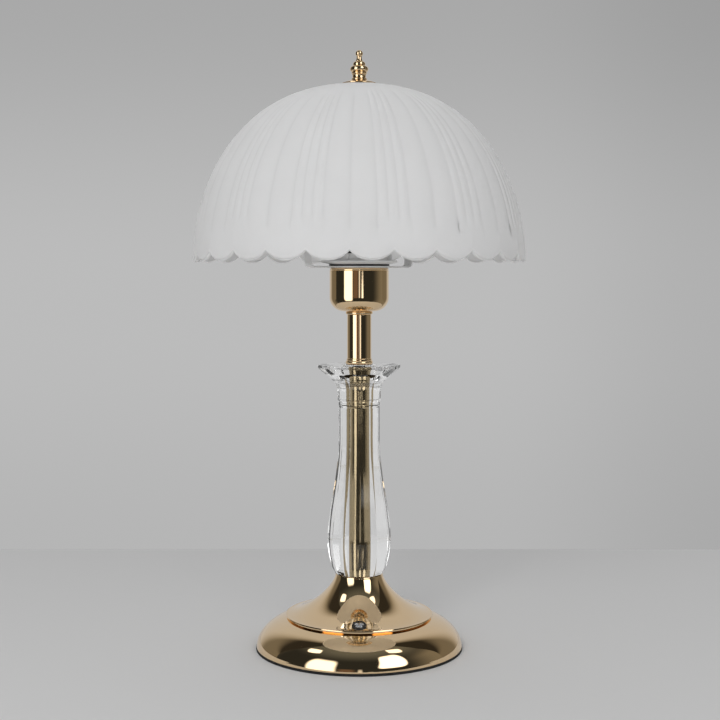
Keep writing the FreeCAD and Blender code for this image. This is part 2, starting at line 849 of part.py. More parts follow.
def contactTongue():
    """The sprung strip that meets the bulb's tip, folded up from its foot on the insulator."""
    t = contactThickness
    knee = insulatorTop + contactKneeHeight
    top = insulatorTop + contactReach
    points = [rz(-contactFoot, insulatorTop), rz(contactHeel, insulatorTop), rz(contactKnee, knee),
              rz(contactHeel, top), rz(-contactTip, top), rz(-contactTip, top - t),
              rz(contactHeel - t, top - t),
              rz(contactKnee - 1.5 * t, knee), rz(contactHeel - t / 2, insulatorTop + t),
              rz(-contactFoot, insulatorTop + t)]
    strip = Part.Face(Part.makePolygon(points + points[:1])).extrude(Vector(0, contactWidth, 0))
    strip.translate(Vector(0, -contactWidth / 2, 0))
    return strip


def holderSkirt():
    """The moulded upper half: a spigot, a flange on the harp's plate and a thread for the ring."""
    spigotRadius = holderCapRadius - holderCapWall
    return lathe([rz(skirtBoreRadius, insulatorTop), rz(spigotRadius, insulatorTop),
                  rz(spigotRadius, skirtJoint), rz(holderCapRadius, skirtJoint),
                  rz(holderCapRadius, harpPlateTop), rz(skirtFlangeRadius, harpPlateTop),
                  rz(skirtFlangeRadius, flangeTop),
                  rz(skirtThreadRadius, flangeTop), rz(skirtThreadRadius, skirtMouth - skirtMouthEdge),
                  rz(skirtThreadRadius - skirtMouthEdge, skirtMouth),
                  rz(skirtBoreRadius + skirtMouthEdge, skirtMouth),
                  rz(skirtBoreRadius, skirtMouth - skirtMouthEdge)])


def shadeRing():
    """The white ring nut: a coned flange and a collar with finger grips round it."""
    flangeEdge = flangeTop + ringCone
    collarFoot = flangeEdge + ringEdge
    top = flangeTop + ringHeight
    body = lathe([rz(skirtThreadRadius, flangeTop), rz(skirtFlangeRadius, flangeTop),
                  rz(ringRadius, flangeEdge), rz(ringRadius, collarFoot - edgeBreak),
                  rz(ringRadius - edgeBreak, collarFoot),
                  rz(ringCollarRadius, collarFoot), rz(ringCollarRadius, top - edgeBreak),
                  rz(ringCollarRadius - edgeBreak, top), rz(skirtThreadRadius, top)])
    grip = Part.makeBox(2 * gripDepth, gripWidth, top - collarFoot - edgeBreak,
                        Vector(ringCollarRadius - gripDepth, -gripWidth / 2, collarFoot))
    for copy in polar(grip, gripCount, gripTurn):
        body = body.fuse(copy)
    return body.removeSplitter()


# Leads

def socketLeads():
    """Two insulated leads, from the terminal block in the base, up the rod, to the holder's clamps."""
    leads = []
    floor = coverTop + leadFloorGap
    clamp = insulatorBottom - terminalHeight
    for side in (-1, 1):
        x = side * leadSpacing / 2
        far = side * terminalOffset
        route = [Vector(x, terminalBlockStart, floor), Vector(x, 0, floor),
                 Vector(x, 0, rodTop + leadTurnHeight),
                 Vector(far, 0, clamp - leadEndRun), Vector(far, 0, clamp)]
        leads.append(pipe(route, [leadBendBottom, leadBendTop, leadBendTop], leadRadius))
    return Part.makeCompound(leads)


def terminalBlock():
    """The moulded block that joins the leads in the base, with two clamp screws down in its top."""
    middle = terminalBlockStart + terminalBlockLength / 2
    top = coverTop + terminalBlockHeight
    block = Part.makeBox(terminalBlockWidth, terminalBlockLength, terminalBlockHeight,
                         Vector(-terminalBlockWidth / 2, terminalBlockStart, coverTop))
    for side in (-1, 1):
        mouth = Vector(side * blockScrewSpacing / 2, middle, top - blockScrewDepth)
        block = block.cut(Part.makeCylinder(blockScrewRadius, blockScrewDepth, mouth))
    return block


# Harp

def harpBow():
    """A plate round the lampholder, two arms bent up from it, and a strap across the top."""
    half = harpStripWidth / 2
    t = harpStripThickness
    height = harpTop - cupTop
    outer = Part.makeBox(2 * harpRadius, harpStripWidth, height, Vector(-harpRadius, -half, cupTop))
    innerWidth = harpStripWidth + 2 * cutOver
    inner = Part.makeBox(2 * (harpRadius - t), innerWidth, height - 2 * t,
                         Vector(-harpRadius + t, -innerWidth / 2, cupTop + t))
    outerEdges = [e for e in outer.Edges if abs(e.BoundBox.YLength - harpStripWidth) < samePoint]
    innerEdges = [e for e in inner.Edges if abs(e.BoundBox.YLength - innerWidth) < samePoint]
    bow = outer.makeFillet(harpBend + t, outerEdges).cut(inner.makeFillet(harpBend, innerEdges))
    plate = Part.makeCylinder(harpPlateRadius, t, Vector(0, 0, cupTop))
    cutLength = t + 2 * cutOver
    hole = Part.makeCylinder(holderCapRadius + harpHoleGap, cutLength, Vector(0, 0, cupTop - cutOver))
    studHole = Part.makeCylinder(studRadius, cutLength, Vector(0, 0, harpTop - t - cutOver))
    bow = bow.fuse(plate).cut(hole).cut(studHole).removeSplitter()
    bow.rotate(Vector(0, 0, 0), Vector(0, 0, 1), harpTurn)
    return bow


def harpStud():
    return lathe([rz(0, studBottom), rz(studRadius - studEdge, studBottom),
                  rz(studRadius, studBottom + studEdge),
                  rz(studRadius, studTop - studEdge), rz(studRadius - studEdge, studTop), rz(0, studTop)])


def studNut():
    bottom = harpTop - harpStripThickness - studNutThickness
    nut = hexNut(studNutAcross, studRadius, bottom, studNutThickness, studEdge)
    nut.rotate(Vector(0, 0, 0), Vector(0, 0, 1), harpTurn)
    return nut


def shadeSeat():
    """A turned spacer on the harp, with a flange that the glass rests on."""
    flange = seatTop - seatFlange
    return lathe([rz(studRadius, harpTop), rz(seatBossRadius, harpTop),
                  rz(seatBossRadius, flange - seatFillet),
                  rz(seatBossRadius + seatFillet, flange), rz(seatRadius - edgeBreak, flange),
                  rz(seatRadius, flange + edgeBreak), rz(seatRadius, seatTop), rz(studRadius, seatTop)])


# Glass

def glassCurve(inset):
    """The dome's outline, from its rim up to the flat crown."""
    return spunQuarter(rz(glassRimRadius, glassRimHeight), rz(0, glassRimHeight + glassRise),
                       glassBowSide, glassBowTop, inset, glassTurnAt(glassFlatRadius))


def glassTurnAt(radius):
    return math.degrees(math.acos((radius / glassRimRadius) ** (glassBowSide / 2)))


def grooveEdge(foot, depth, points=15):
    """A line up the dome from a height over its rim, that dips to a depth between its two ends."""
    start = math.degrees(math.asin((foot / glassRise) ** (glassBowTop / 2)))
    stop = glassTurnAt(grooveTopRadius)
    path = []
    for i in range(points):
        share = i / (points - 1)
        dip = (depth + grooveOutside) * (1 - (2 * share - 1) ** grooveFlatness) - grooveOutside
        path.append(spunPoint(rz(glassRimRadius, glassRimHeight), rz(0, glassRimHeight + glassRise),
                              glassBowSide, glassBowTop, start + (stop - start) * share, dip))
    return splineThrough(path)


def grooveCutter(foot, depth, halfTurn):
    """A slender wedge up the dome: its root runs along the groove's floor, its two sides stand outside."""
    root = grooveEdge(foot, depth)
    left = grooveEdge(foot, -2 * grooveOutside)
    right = left.copy()
    left.rotate(Vector(0, 0, 0), Vector(0, 0, 1), halfTurn)
    right.rotate(Vector(0, 0, 0), Vector(0, 0, 1), -halfTurn)
    faces = [Part.makeRuledSurface(a, b) for a, b in ((root, left), (left, right), (right, root))]
    for end in ("FirstParameter", "LastParameter"):
        corners = [edge.valueAt(getattr(edge, end)) for edge in (root, left, right)]
        faces.append(Part.Face(Part.makePolygon(corners + corners[:1])))
    return Part.Solid(Part.Shell([face for piece in faces for face in piece.Faces]))


def grooves():
    """Groups of narrow flutes over every other cusp of the rim, and one crease between each two groups."""
    groups = scallopCount // 2
    turn = scallopTurn - 90 + 180 / scallopCount
    flute = grooveCutter(fluteFoot, fluteDepth, fluteHalfTurn)
    cutters = polar(grooveCutter(creaseFoot, creaseDepth, creaseHalfTurn), groups, turn + 180 / groups)
    for i in range(fluteCount):
        cutters += polar(flute, groups, turn + (i - (fluteCount - 1) / 2) * fluteSpacing)
    return Part.makeCompound(cutters)


def glassShade():
    """A pressed dome, fluted outside, whose rim is cut to a row of round lobes turned from the front."""
    foot = scallopBottom - edgeBreak
    dome = lathe([rz(glassRimRadius - glassWall, foot), rz(glassRimRadius, foot), glassCurve(0.0),
                  rz(glassHoleRadius, glassTop), rz(glassHoleRadius, glassSeat), glassCurve(glassWall)])
    inside = glassRimRadius - glassWall - scallopReach
    outside = glassRimRadius + scallopReach
    band = ring(outside, inside, foot - cutOver, scallopBand + cutOver)
    lobe = Part.makeCylinder(scallopRadius, outside - inside + 2 * cutOver,
                             Vector(inside - cutOver, 0, scallopBottom + scallopRadius), Vector(1, 0, 0))
    rim = band.cut(Part.makeCompound(polar(lobe, scallopCount, scallopTurn - 90)))
    return dome.cut(rim).cut(grooves())


def lowerGasket():
    return ring(gasketRadius, studHole, glassSeat - gasketThickness, gasketThickness)


def upperGasket():
    return ring(finialGasketRadius, studHole, glassTop, finialGasketThickness)


# Finial

def finialWasher():
    """A spun cup turned down over the gasket."""
    bottom = finialWasherBottom
    top = bottom + finialWasherHeight
    wall = finialWasherWall
    rim = finialWasherRadius
    crown = finialFootRadius + finialWasherLip
    bow = arcThrough(rz(rim, bottom + finialWasherLip), rz(rim - finialWasherShoulder,
                                                           bottom + finialWasherBow),
                     rz(crown, top))
    under = arcThrough(rz(crown, top - wall), rz(rim - finialWasherShoulder,
                                                 bottom + finialWasherBow - wall),
                       rz(rim - wall, bottom))
    return lathe([rz(studHole, top), rz(studHole, top - wall), under, rz(rim, bottom), bow])


def finialKnob():
    """A turned knob: foot, waist, bell, ball and shoulder, and a small round tip on a neck."""
    foot = finialBottom
    bore = studRadius + finialBoreGap
    neckRadius, neckTop = finialNeck[-1]
    tipSink = math.sqrt(finialTipRadius ** 2 - neckRadius ** 2)
    tipCentre = foot + neckTop + tipSink
    turn = (math.pi - math.asin(neckRadius / finialTipRadius)) / 2
    tip = arcThrough(rz(neckRadius, foot + neckTop),
                     rz(finialTipRadius * math.sin(turn), tipCentre + finialTipRadius * math.cos(turn)),
                     rz(0, tipCentre + finialTipRadius))
    return lathe([rz(bore, foot), rz(finialFootRadius - edgeBreak, foot),
                  rz(finialFootRadius, foot + edgeBreak),
                  rz(finialFootRadius, foot + finialFootHeight), arcOf(finialWaist, foot),
                  arcOf(finialBell, foot),
                  arcOf(finialBall, foot), arcOf(finialShoulder, foot), arcOf(finialNeck, foot), tip,
                  rz(0, foot + finialBoreDepth + finialBorePoint), rz(bore, foot + finialBoreDepth)])


# Bulb

def bulbTip():
    dome = capArc(bulbTipRadius, bulbBottom + bulbTipRise, -bulbTipRise)
    return lathe([rz(0, bulbBottom + bulbTipHeight), rz(bulbTipRadius, bulbBottom + bulbTipHeight), dome])


def bulbInsulator():
    bottom = bulbBottom + bulbTipHeight
    return lathe([rz(0, bottom), rz(bulbTipRadius + bulbTipFlange, bottom),
                  rz(bulbCapRadius - bulbInsulatorFlare, bulbCapBottom), rz(0, bulbCapBottom)])


def bulbCap():
    return lathe([rz(0, bulbCapBottom), rz(bulbCapRadius - bulbCapShoulder, bulbCapBottom),
                  rz(bulbCapRadius, bulbCapBottom + bulbCapRound), rz(bulbCapRadius, bulbBodyBottom),
                  rz(0, bulbBodyBottom)])


def bulbHousing():
    """The moulded neck that widens from the cap to the globe."""
    side = arcThrough(rz(bulbNeckRadius, bulbBodyBottom + bulbNeckHeight),
                      rz(bulbWaistRadius, bulbBodyBottom + bulbBodyHeight / 2),
                      rz(bulbBodyTopRadius, bulbBodyTop))
    return lathe([rz(0, bulbBodyBottom), rz(bulbNeckRadius - edgeBreak, bulbBodyBottom), side,
                  rz(0, bulbBodyTop)])


def bulbGlobe():
    """The opal globe, cut off where it meets the housing."""
    centre = bulbBodyTop + math.sqrt(bulbGlobeRadius ** 2 - bulbBodyTopRadius ** 2)
    globe = Part.makeSphere(bulbGlobeRadius, Vector(0, 0, centre))
    hollow = Part.makeSphere(bulbGlobeRadius - bulbGlobeWall, Vector(0, 0, centre))
    below = Part.makeCylinder(bulbGlobeRadius + cutOver, 2 * bulbGlobeRadius,
                              Vector(0, 0, bulbBodyTop - 2 * bulbGlobeRadius))
    return globe.cut(hollow).cut(below)


pieces = {
    "base_pad": basePad, "bottom_cover": bottomCover, "cover_screws": coverScrews,
    "base_weight": baseWeight, "base_shell": baseShell, "cord_grommet": cordGrommet,
    "base_trumpet": baseTrumpet, "switch_bezel": switchBezel, "button_cap": buttonCap,
    "switch_nut": switchNut, "switch_body": switchBody, "switch_pins": switchPins,
    "threaded_rod": threadedRod, "bottom_washer": bottomWasher, "bottom_nut": bottomNut,
    "cup_washer": cupWasher, "cup_nut": cupNut, "crystal_column": crystalColumn,
    "crystal_lower_washer": crystalLowerWasher, "crystal_upper_washer": crystalUpperWasher,
    "inner_sleeve": innerSleeve, "lower_collar": lowerCollar, "stem_tube": stemTube,
    "upper_collar": upperCollar, "holder_cup": holderCup, "holder_cap": holderCap,
    "holder_insulator": holderInsulator, "holder_terminals": holderTerminals, "screw_shell": screwShell,
    "contact_tongue": contactTongue, "holder_skirt": holderSkirt, "shade_ring": shadeRing,
    "socket_leads": socketLeads, "terminal_block": terminalBlock, "harp_bow": harpBow,
    "harp_stud": harpStud, "stud_nut": studNut, "shade_seat": shadeSeat, "glass_shade": glassShade,
    "lower_gasket": lowerGasket, "upper_gasket": upperGasket, "finial_washer": finialWasher,
    "finial_knob": finialKnob, "bulb_tip": bulbTip, "bulb_insulator": bulbInsulator,
    "bulb_cap": bulbCap, "bulb_housing": bulbHousing, "bulb_globe": bulbGlobe,
}

os.makedirs("parts", exist_ok=True)
for name, build in pieces.items():
    shape = build()
    if not shape.isValid():
        print("not valid:", name)
    print(f"{name}: {len(shape.Solids)} solid(s), {shape.Volume:.0f} mm3")
    shape.exportStep(f"parts/{name}.step")
print("The switch sits at", seatPoint, "and faces", seatAxis)
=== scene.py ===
import json
import math
from functools import partial, reduce

import bmesh
import bpy
from mathutils import Matrix, Vector
from mathutils.geometry import interpolate_bezier


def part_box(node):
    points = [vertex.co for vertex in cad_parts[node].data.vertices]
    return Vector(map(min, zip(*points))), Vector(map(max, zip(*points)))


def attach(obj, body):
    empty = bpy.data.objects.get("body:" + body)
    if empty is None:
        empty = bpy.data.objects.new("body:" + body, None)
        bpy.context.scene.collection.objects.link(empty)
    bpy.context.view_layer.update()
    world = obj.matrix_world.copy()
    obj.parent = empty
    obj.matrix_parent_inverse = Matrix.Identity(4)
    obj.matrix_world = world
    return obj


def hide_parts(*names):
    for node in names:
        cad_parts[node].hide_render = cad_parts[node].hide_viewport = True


# Looks of the mushroom table lamp: frosted scalloped dome, cut crystal column, polished brass.
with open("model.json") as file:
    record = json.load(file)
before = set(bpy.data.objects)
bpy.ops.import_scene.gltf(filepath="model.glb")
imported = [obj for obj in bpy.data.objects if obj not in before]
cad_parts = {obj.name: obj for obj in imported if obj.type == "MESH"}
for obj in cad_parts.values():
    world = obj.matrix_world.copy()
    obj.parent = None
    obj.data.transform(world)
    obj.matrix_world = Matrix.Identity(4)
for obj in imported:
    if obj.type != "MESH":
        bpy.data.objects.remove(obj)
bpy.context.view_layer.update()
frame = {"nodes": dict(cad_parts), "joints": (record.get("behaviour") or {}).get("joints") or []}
mm = 0.001
print("frame loaded:", len(frame["nodes"]), "nodes")


# Outlines: points are (distance from the axis, height) in millimetres

def span(node):
    low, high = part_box(node)
    return high.x / mm, low.z / mm, high.z / mm


def rounded(corners, steps=4, guard=0.4):
    # a third number on a corner is its radius; guard points keep the shading of the straights
    points = [Vector(corner[:2]) for corner in corners]
    count = len(corners)
    ways = [((points[i - 1] - p).normalized(), (points[(i + 1) % count] - p).normalized())
            for i, p in enumerate(points)]
    halves = [back.angle(ahead) / 2 for back, ahead in ways]
    takes = [corner[2] / math.tan(half) if len(corner) > 2 else 0.0 for corner, half in zip(corners, halves)]
    line = []
    for i, corner in enumerate(corners):
        if not takes[i]:
            line.append(points[i])
            continue
        start, end = (points[i] + way * takes[i] for way in ways[i])
        centre = points[i] + (ways[i][0] + ways[i][1]).normalized() * corner[2] / math.sin(halves[i])
        spares = [(points[j] - points[i]).length - takes[i] - takes[j] for j in (i - 1, (i + 1) % count)]
        if spares[0] > guard:
            line.append(start + ways[i][0] * guard / 3)
        for k in range(steps + 1):
            out = start.lerp(end, k / steps) - centre
            line.append(centre + out.normalized() * corner[2])
        if spares[1] > guard:
            line.append(end + ways[i][1] * guard / 3)
    return line


def arcThrough(start, middle, end, steps=10):
    a, b, c = (Vector(p) for p in (start, middle, end))
    d = 2 * (a.x * (b.y - c.y) + b.x * (c.y - a.y) + c.x * (a.y - b.y))
    squares = [p.length_squared for p in (a, b, c)]
    centre = Vector((squares[0] * (b.y - c.y) + squares[1] * (c.y - a.y) + squares[2] * (a.y - b.y),
                     squares[0] * (c.x - b.x) + squares[1] * (a.x - c.x) + squares[2] * (b.x - a.x))) / d
    first = math.atan2(a.y - centre.y, a.x - centre.x)
    through = (math.atan2(b.y - centre.y, b.x - centre.x) - first) % math.tau
    sweep = (math.atan2(c.y - centre.y, c.x - centre.x) - first) % math.tau
    if through > sweep:
        sweep -= math.tau
    radius = (a - centre).length
    turns = [first + sweep * k / steps for k in range(steps + 1)]
    return [centre + radius * Vector((math.cos(turn), math.sin(turn))) for turn in turns]


def bowed(edge, crown, bowSide, bowTop, steps, inset=0.0, stop=90.0):
    # a quarter of a superellipse from its edge up to its crown, moved inwards by a wall
    line = []
    wide, tall = edge[0] - crown[0], crown[1] - edge[1]
    for i in range(steps + 1):
        t = math.radians(stop * i / steps)
        c, s = max(math.cos(t), 1e-9), max(math.sin(t), 1e-9)
        lean = Vector((-wide * (2 / bowSide) * c ** (2 / bowSide - 1) * s,
                       tall * (2 / bowTop) * s ** (2 / bowTop - 1) * c)).normalized()
        line.append(Vector((crown[0] + wide * c ** (2 / bowSide) - inset * lean.y,
                            edge[1] + tall * s ** (2 / bowTop) + inset * lean.x)))
    return line


def smoothLine(points, startLean, endLean, steps):
    # a smooth curve through the points, with the given directions at its two ends
    knots = [Vector(p) for p in points]
    leans = [Vector(startLean).normalized()]
    leans += [(after - before).normalized() for before, after in zip(knots, knots[2:])]
    leans.append(Vector(endLean).normalized())
    line = [knots[0]]
    for a, b, leanA, leanB in zip(knots, knots[1:], leans, leans[1:]):
        reach = (b - a).length / 3
        line += interpolate_bezier(a, a + leanA * reach, b - leanB * reach, b, steps + 1)[1:]
    return line


def ridged(radius, low, high, pitch, depth, perTurn=6):
    # a rolled thread, as rings
    count = max(1, round((high - low) / pitch)) * perTurn
    sink = [depth * (1 - math.cos(math.tau * k / perTurn)) / 2 for k in range(count + 1)]
    return [Vector((radius - sunk, low + (high - low) * k / count)) for k, sunk in enumerate(sink)]


def heightAt(line, radius):
    for a, b in zip(line, line[1:]):
        if min(a.x, b.x) <= radius <= max(a.x, b.x) and a.x != b.x:
            return a.y + (b.y - a.y) * (radius - a.x) / (b.x - a.x)
    return line[-1].y


# Meshes

def turned(outline, steps=144):
    bm = bmesh.new()
    verts = [bm.verts.new((max(r, 0) * mm, 0, z * mm)) for r, z in outline]
    edges = [bm.edges.new(pair) for pair in zip(verts, verts[1:] + verts[:1])
             if max(pair[0].co.x, pair[1].co.x) > 1e-6]
    bmesh.ops.spin(bm, geom=verts + edges, cent=(0, 0, 0), axis=(0, 0, 1), angle=math.tau, steps=steps,
                   use_merge=True)
    return bm


def block(bm, low, high, matrix):
    size = [(b - a) * mm for a, b in zip(low, high)]
    middle = Vector([(a + b) / 2 * mm for a, b in zip(low, high)])
    place = matrix @ Matrix.Translation(middle) @ Matrix.Diagonal((*size, 1))
    bmesh.ops.create_cube(bm, size=1.0, matrix=place)


def soften(bm, width, segments=2, least=28, edges=None):
    bm.normal_update()
    if edges is None:
        edges = [e for e in bm.edges if len(e.link_faces) == 2 and e.calc_face_angle(0) > math.radians(least)]
    bmesh.ops.bevel(bm, geom=edges, offset=width * mm, offset_type="OFFSET", segments=segments,
                    profile=0.5, affect="EDGES", clamp_overlap=True, material=-1)


def turnBy(degrees):
    return Matrix.Rotation(math.radians(degrees), 4, "Z")


def absorb(bm, other):
    spare = bpy.data.meshes.new("spare")
    other.to_mesh(spare)
    other.free()
    bm.from_mesh(spare)
    bpy.data.meshes.remove(spare)
    return bm


def hexNut(across, bore, low, high, turn):
    bm = bmesh.new()
    corner = across / math.sqrt(3) * mm
    place = turnBy(turn) @ Matrix.Translation((0, 0, low * mm))
    bmesh.ops.create_circle(bm, segments=6, radius=corner, matrix=place)
    bmesh.ops.subdivide_edges(bm, edges=bm.edges[:], cuts=5)
    bmesh.ops.create_circle(bm, segments=36, radius=bore * mm, matrix=place)
    bmesh.ops.bridge_loops(bm, edges=bm.edges[:])
    lifted = bmesh.ops.extrude_face_region(bm, geom=bm.faces[:])["geom"]
    raised = [v for v in lifted if isinstance(v, bmesh.types.BMVert)]
    bmesh.ops.translate(bm, verts=raised, vec=(0, 0, (high - low) * mm))
    soften(bm, 0.35)
    return bm


def newObject(name, data):
    thing = bpy.data.objects.new(name, data)
    bpy.context.scene.collection.objects.link(thing)
    return thing


def meshObject(bm, name, material):
    mesh = bpy.data.meshes.new(name)
    bm.to_mesh(mesh)
    bm.free()
    mesh.materials.append(material)
    return newObject(name, mesh)


def addPiece(bm, name, node, slotName, finish=None, body="lamp_body", sharp=32):
    # the slot's usual finish, unless another is named
    bmesh.ops.remove_doubles(bm, verts=bm.verts, dist=0.001 * mm)
    bmesh.ops.recalc_face_normals(bm, faces=bm.faces)
    piece = meshObject(bm, name, materials[finish or slotFinish[slotName]])
    piece.data.shade_smooth()
    piece.data.set_sharp_from_angle(angle=math.radians(sharp))
    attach(piece, body)
    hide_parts(node)


# Shader nodes

def feed(tree, node, inputs):
    # each input takes a value, or a link from another node's socket
    for label, value in inputs.items():
        if isinstance(value, bpy.types.NodeSocket):
            tree.links.new(value, node.inputs[label])
        else:
            node.inputs[label].default_value = value


def addNode(tree, kind, inputs=None, **settings):
    node = tree.nodes.new("ShaderNode" + kind)
    for label, value in settings.items():
        setattr(node, label, value)
    feed(tree, node, inputs or {})
    return node


def placeParts(tree, space="Object"):
    return addNode(tree, "SeparateXYZ", {"Vector": addNode(tree, "TexCoord").outputs[space]}).outputs


def mathNode(tree, operation, *values):
    return addNode(tree, "Math", dict(enumerate(values)), operation=operation).outputs[0]


def mixTones(tree, share, a, b):
    return addNode(tree, "Mix", {"Factor": share, "A": a, "B": b}, data_type="RGBA").outputs["Result"]


def slope(tree, value, start, end, low, high, kind="SMOOTHSTEP"):
    ends = {"Value": value, "From Min": start, "From Max": end, "To Min": low, "To Max": high}
    return addNode(tree, "MapRange", ends, interpolation_type=kind).outputs["Result"]


def newGroup(name, inputs, output):
    group = bpy.data.node_groups.new(name, "ShaderNodeTree")
    for label, value in inputs.items():
        group.interface.new_socket(label, in_out="INPUT", socket_type="NodeSocketFloat").default_value = value
    group.interface.new_socket(output, in_out="OUTPUT", socket_type="NodeSocketFloat")
    return group, group.nodes.new("NodeGroupInput").outputs, group.nodes.new("NodeGroupOutput").inputs


def makeCloudGroup():
    # soft patches, such as handling and uneven polish
    group, taken, given = newGroup("cloudPatches", {"Scale": 60.0, "Low": 0.0, "High": 1.0}, "Amount")
    place = addNode(group, "TexCoord").outputs["Object"]
    noise = addNode(group, "TexNoise", {"Vector": place, "Scale": taken["Scale"], "Detail": 4.0})
    spread = slope(group, noise.outputs["Fac"], 0.34, 0.66, taken["Low"], taken["High"], "LINEAR")
    group.links.new(spread, given["Amount"])
    return group


def makeGrainGroup():
    # fine grain in relief, with larger waves under it
    group, taken, given = newGroup("fineGrain", {"Scale": 2500.0, "Waves": 0.0}, "Height")
    place = addNode(group, "TexCoord").outputs["Object"]
    grain = addNode(group, "TexNoise", {"Vector": place, "Scale": taken["Scale"], "Detail": 2.0})
    waves = addNode(group, "TexNoise", {"Vector": place, "Scale": 45.0})
    swell = mathNode(group, "MULTIPLY", waves.outputs["Fac"], taken["Waves"])
    group.links.new(mathNode(group, "ADD", grain.outputs["Fac"], swell), given["Height"])
    return group


def makeLatheGroup():
    # rings left by turning and polishing: they change with radius and height only
    group, taken, given = newGroup("latheMarks", {"Scale": 900.0}, "Height")
    x, y, z = placeParts(group)
    squares = [mathNode(group, "MULTIPLY", side, side) for side in (x, y)]
    radius = mathNode(group, "SQRT", mathNode(group, "ADD", *squares))
    flat = addNode(group, "CombineXYZ", {"X": radius, "Z": z}).outputs["Vector"]
    noise = addNode(group, "TexNoise", {"Vector": flat, "Scale": taken["Scale"], "Detail": 3.0})
    group.links.new(noise.outputs["Fac"], given["Height"])
    return group


cloudPatches = makeCloudGroup()
fineGrain = makeGrainGroup()
latheMarks = makeLatheGroup()


# Materials

def makeFinish(name, look):
    # two tones in soft patches, a roughness that wanders between two values, and a relief
    material = bpy.data.materials.new(name)
    material.use_nodes = True
    tree = material.node_tree

    def grouped(group, **values):
        return addNode(tree, "Group", values, node_tree=group).outputs[0]

    patches = grouped(cloudPatches, Scale=look.get("patchScale", 60.0))
    tone = mixTones(tree, patches, (*look["tone"], 1), (*look["patch"], 1))
    # painted light from the mesh's marks: a darker tone in the flute valleys is painted shade, a lighter tone
    # along the rim band is a painted highlight
    for paintedLightMark in ("groove", "rim"):
        if paintedLightMark + "Tone" in look:
            share = addNode(tree, "Attribute", attribute_name=paintedLightMark).outputs["Fac"]
            tone = mixTones(tree, share, tone, (*look[paintedLightMark + "Tone"], 1))
    low, high = look["roughness"]
    sheen = grouped(cloudPatches, Scale=look.get("sheenScale", 140.0), Low=low, High=high)
    if "lathe" in look:
        height = grouped(latheMarks, Scale=look["lathe"])
    else:
        height = grouped(fineGrain, Scale=look.get("grain", 2500.0), Waves=look.get("waves", 0.0))
    bump = addNode(tree, "Bump", {"Strength": look["relief"], "Distance": look.get("reliefDepth", 0.05) * mm,
                                  "Height": height})
    feed(tree, tree.nodes["Principled BSDF"], {
        "Base Color": tone, "Metallic": look.get("metallic", 0.0), "Roughness": sheen,
        "Normal": bump.outputs["Normal"], **look.get("sockets", {})})
    return material


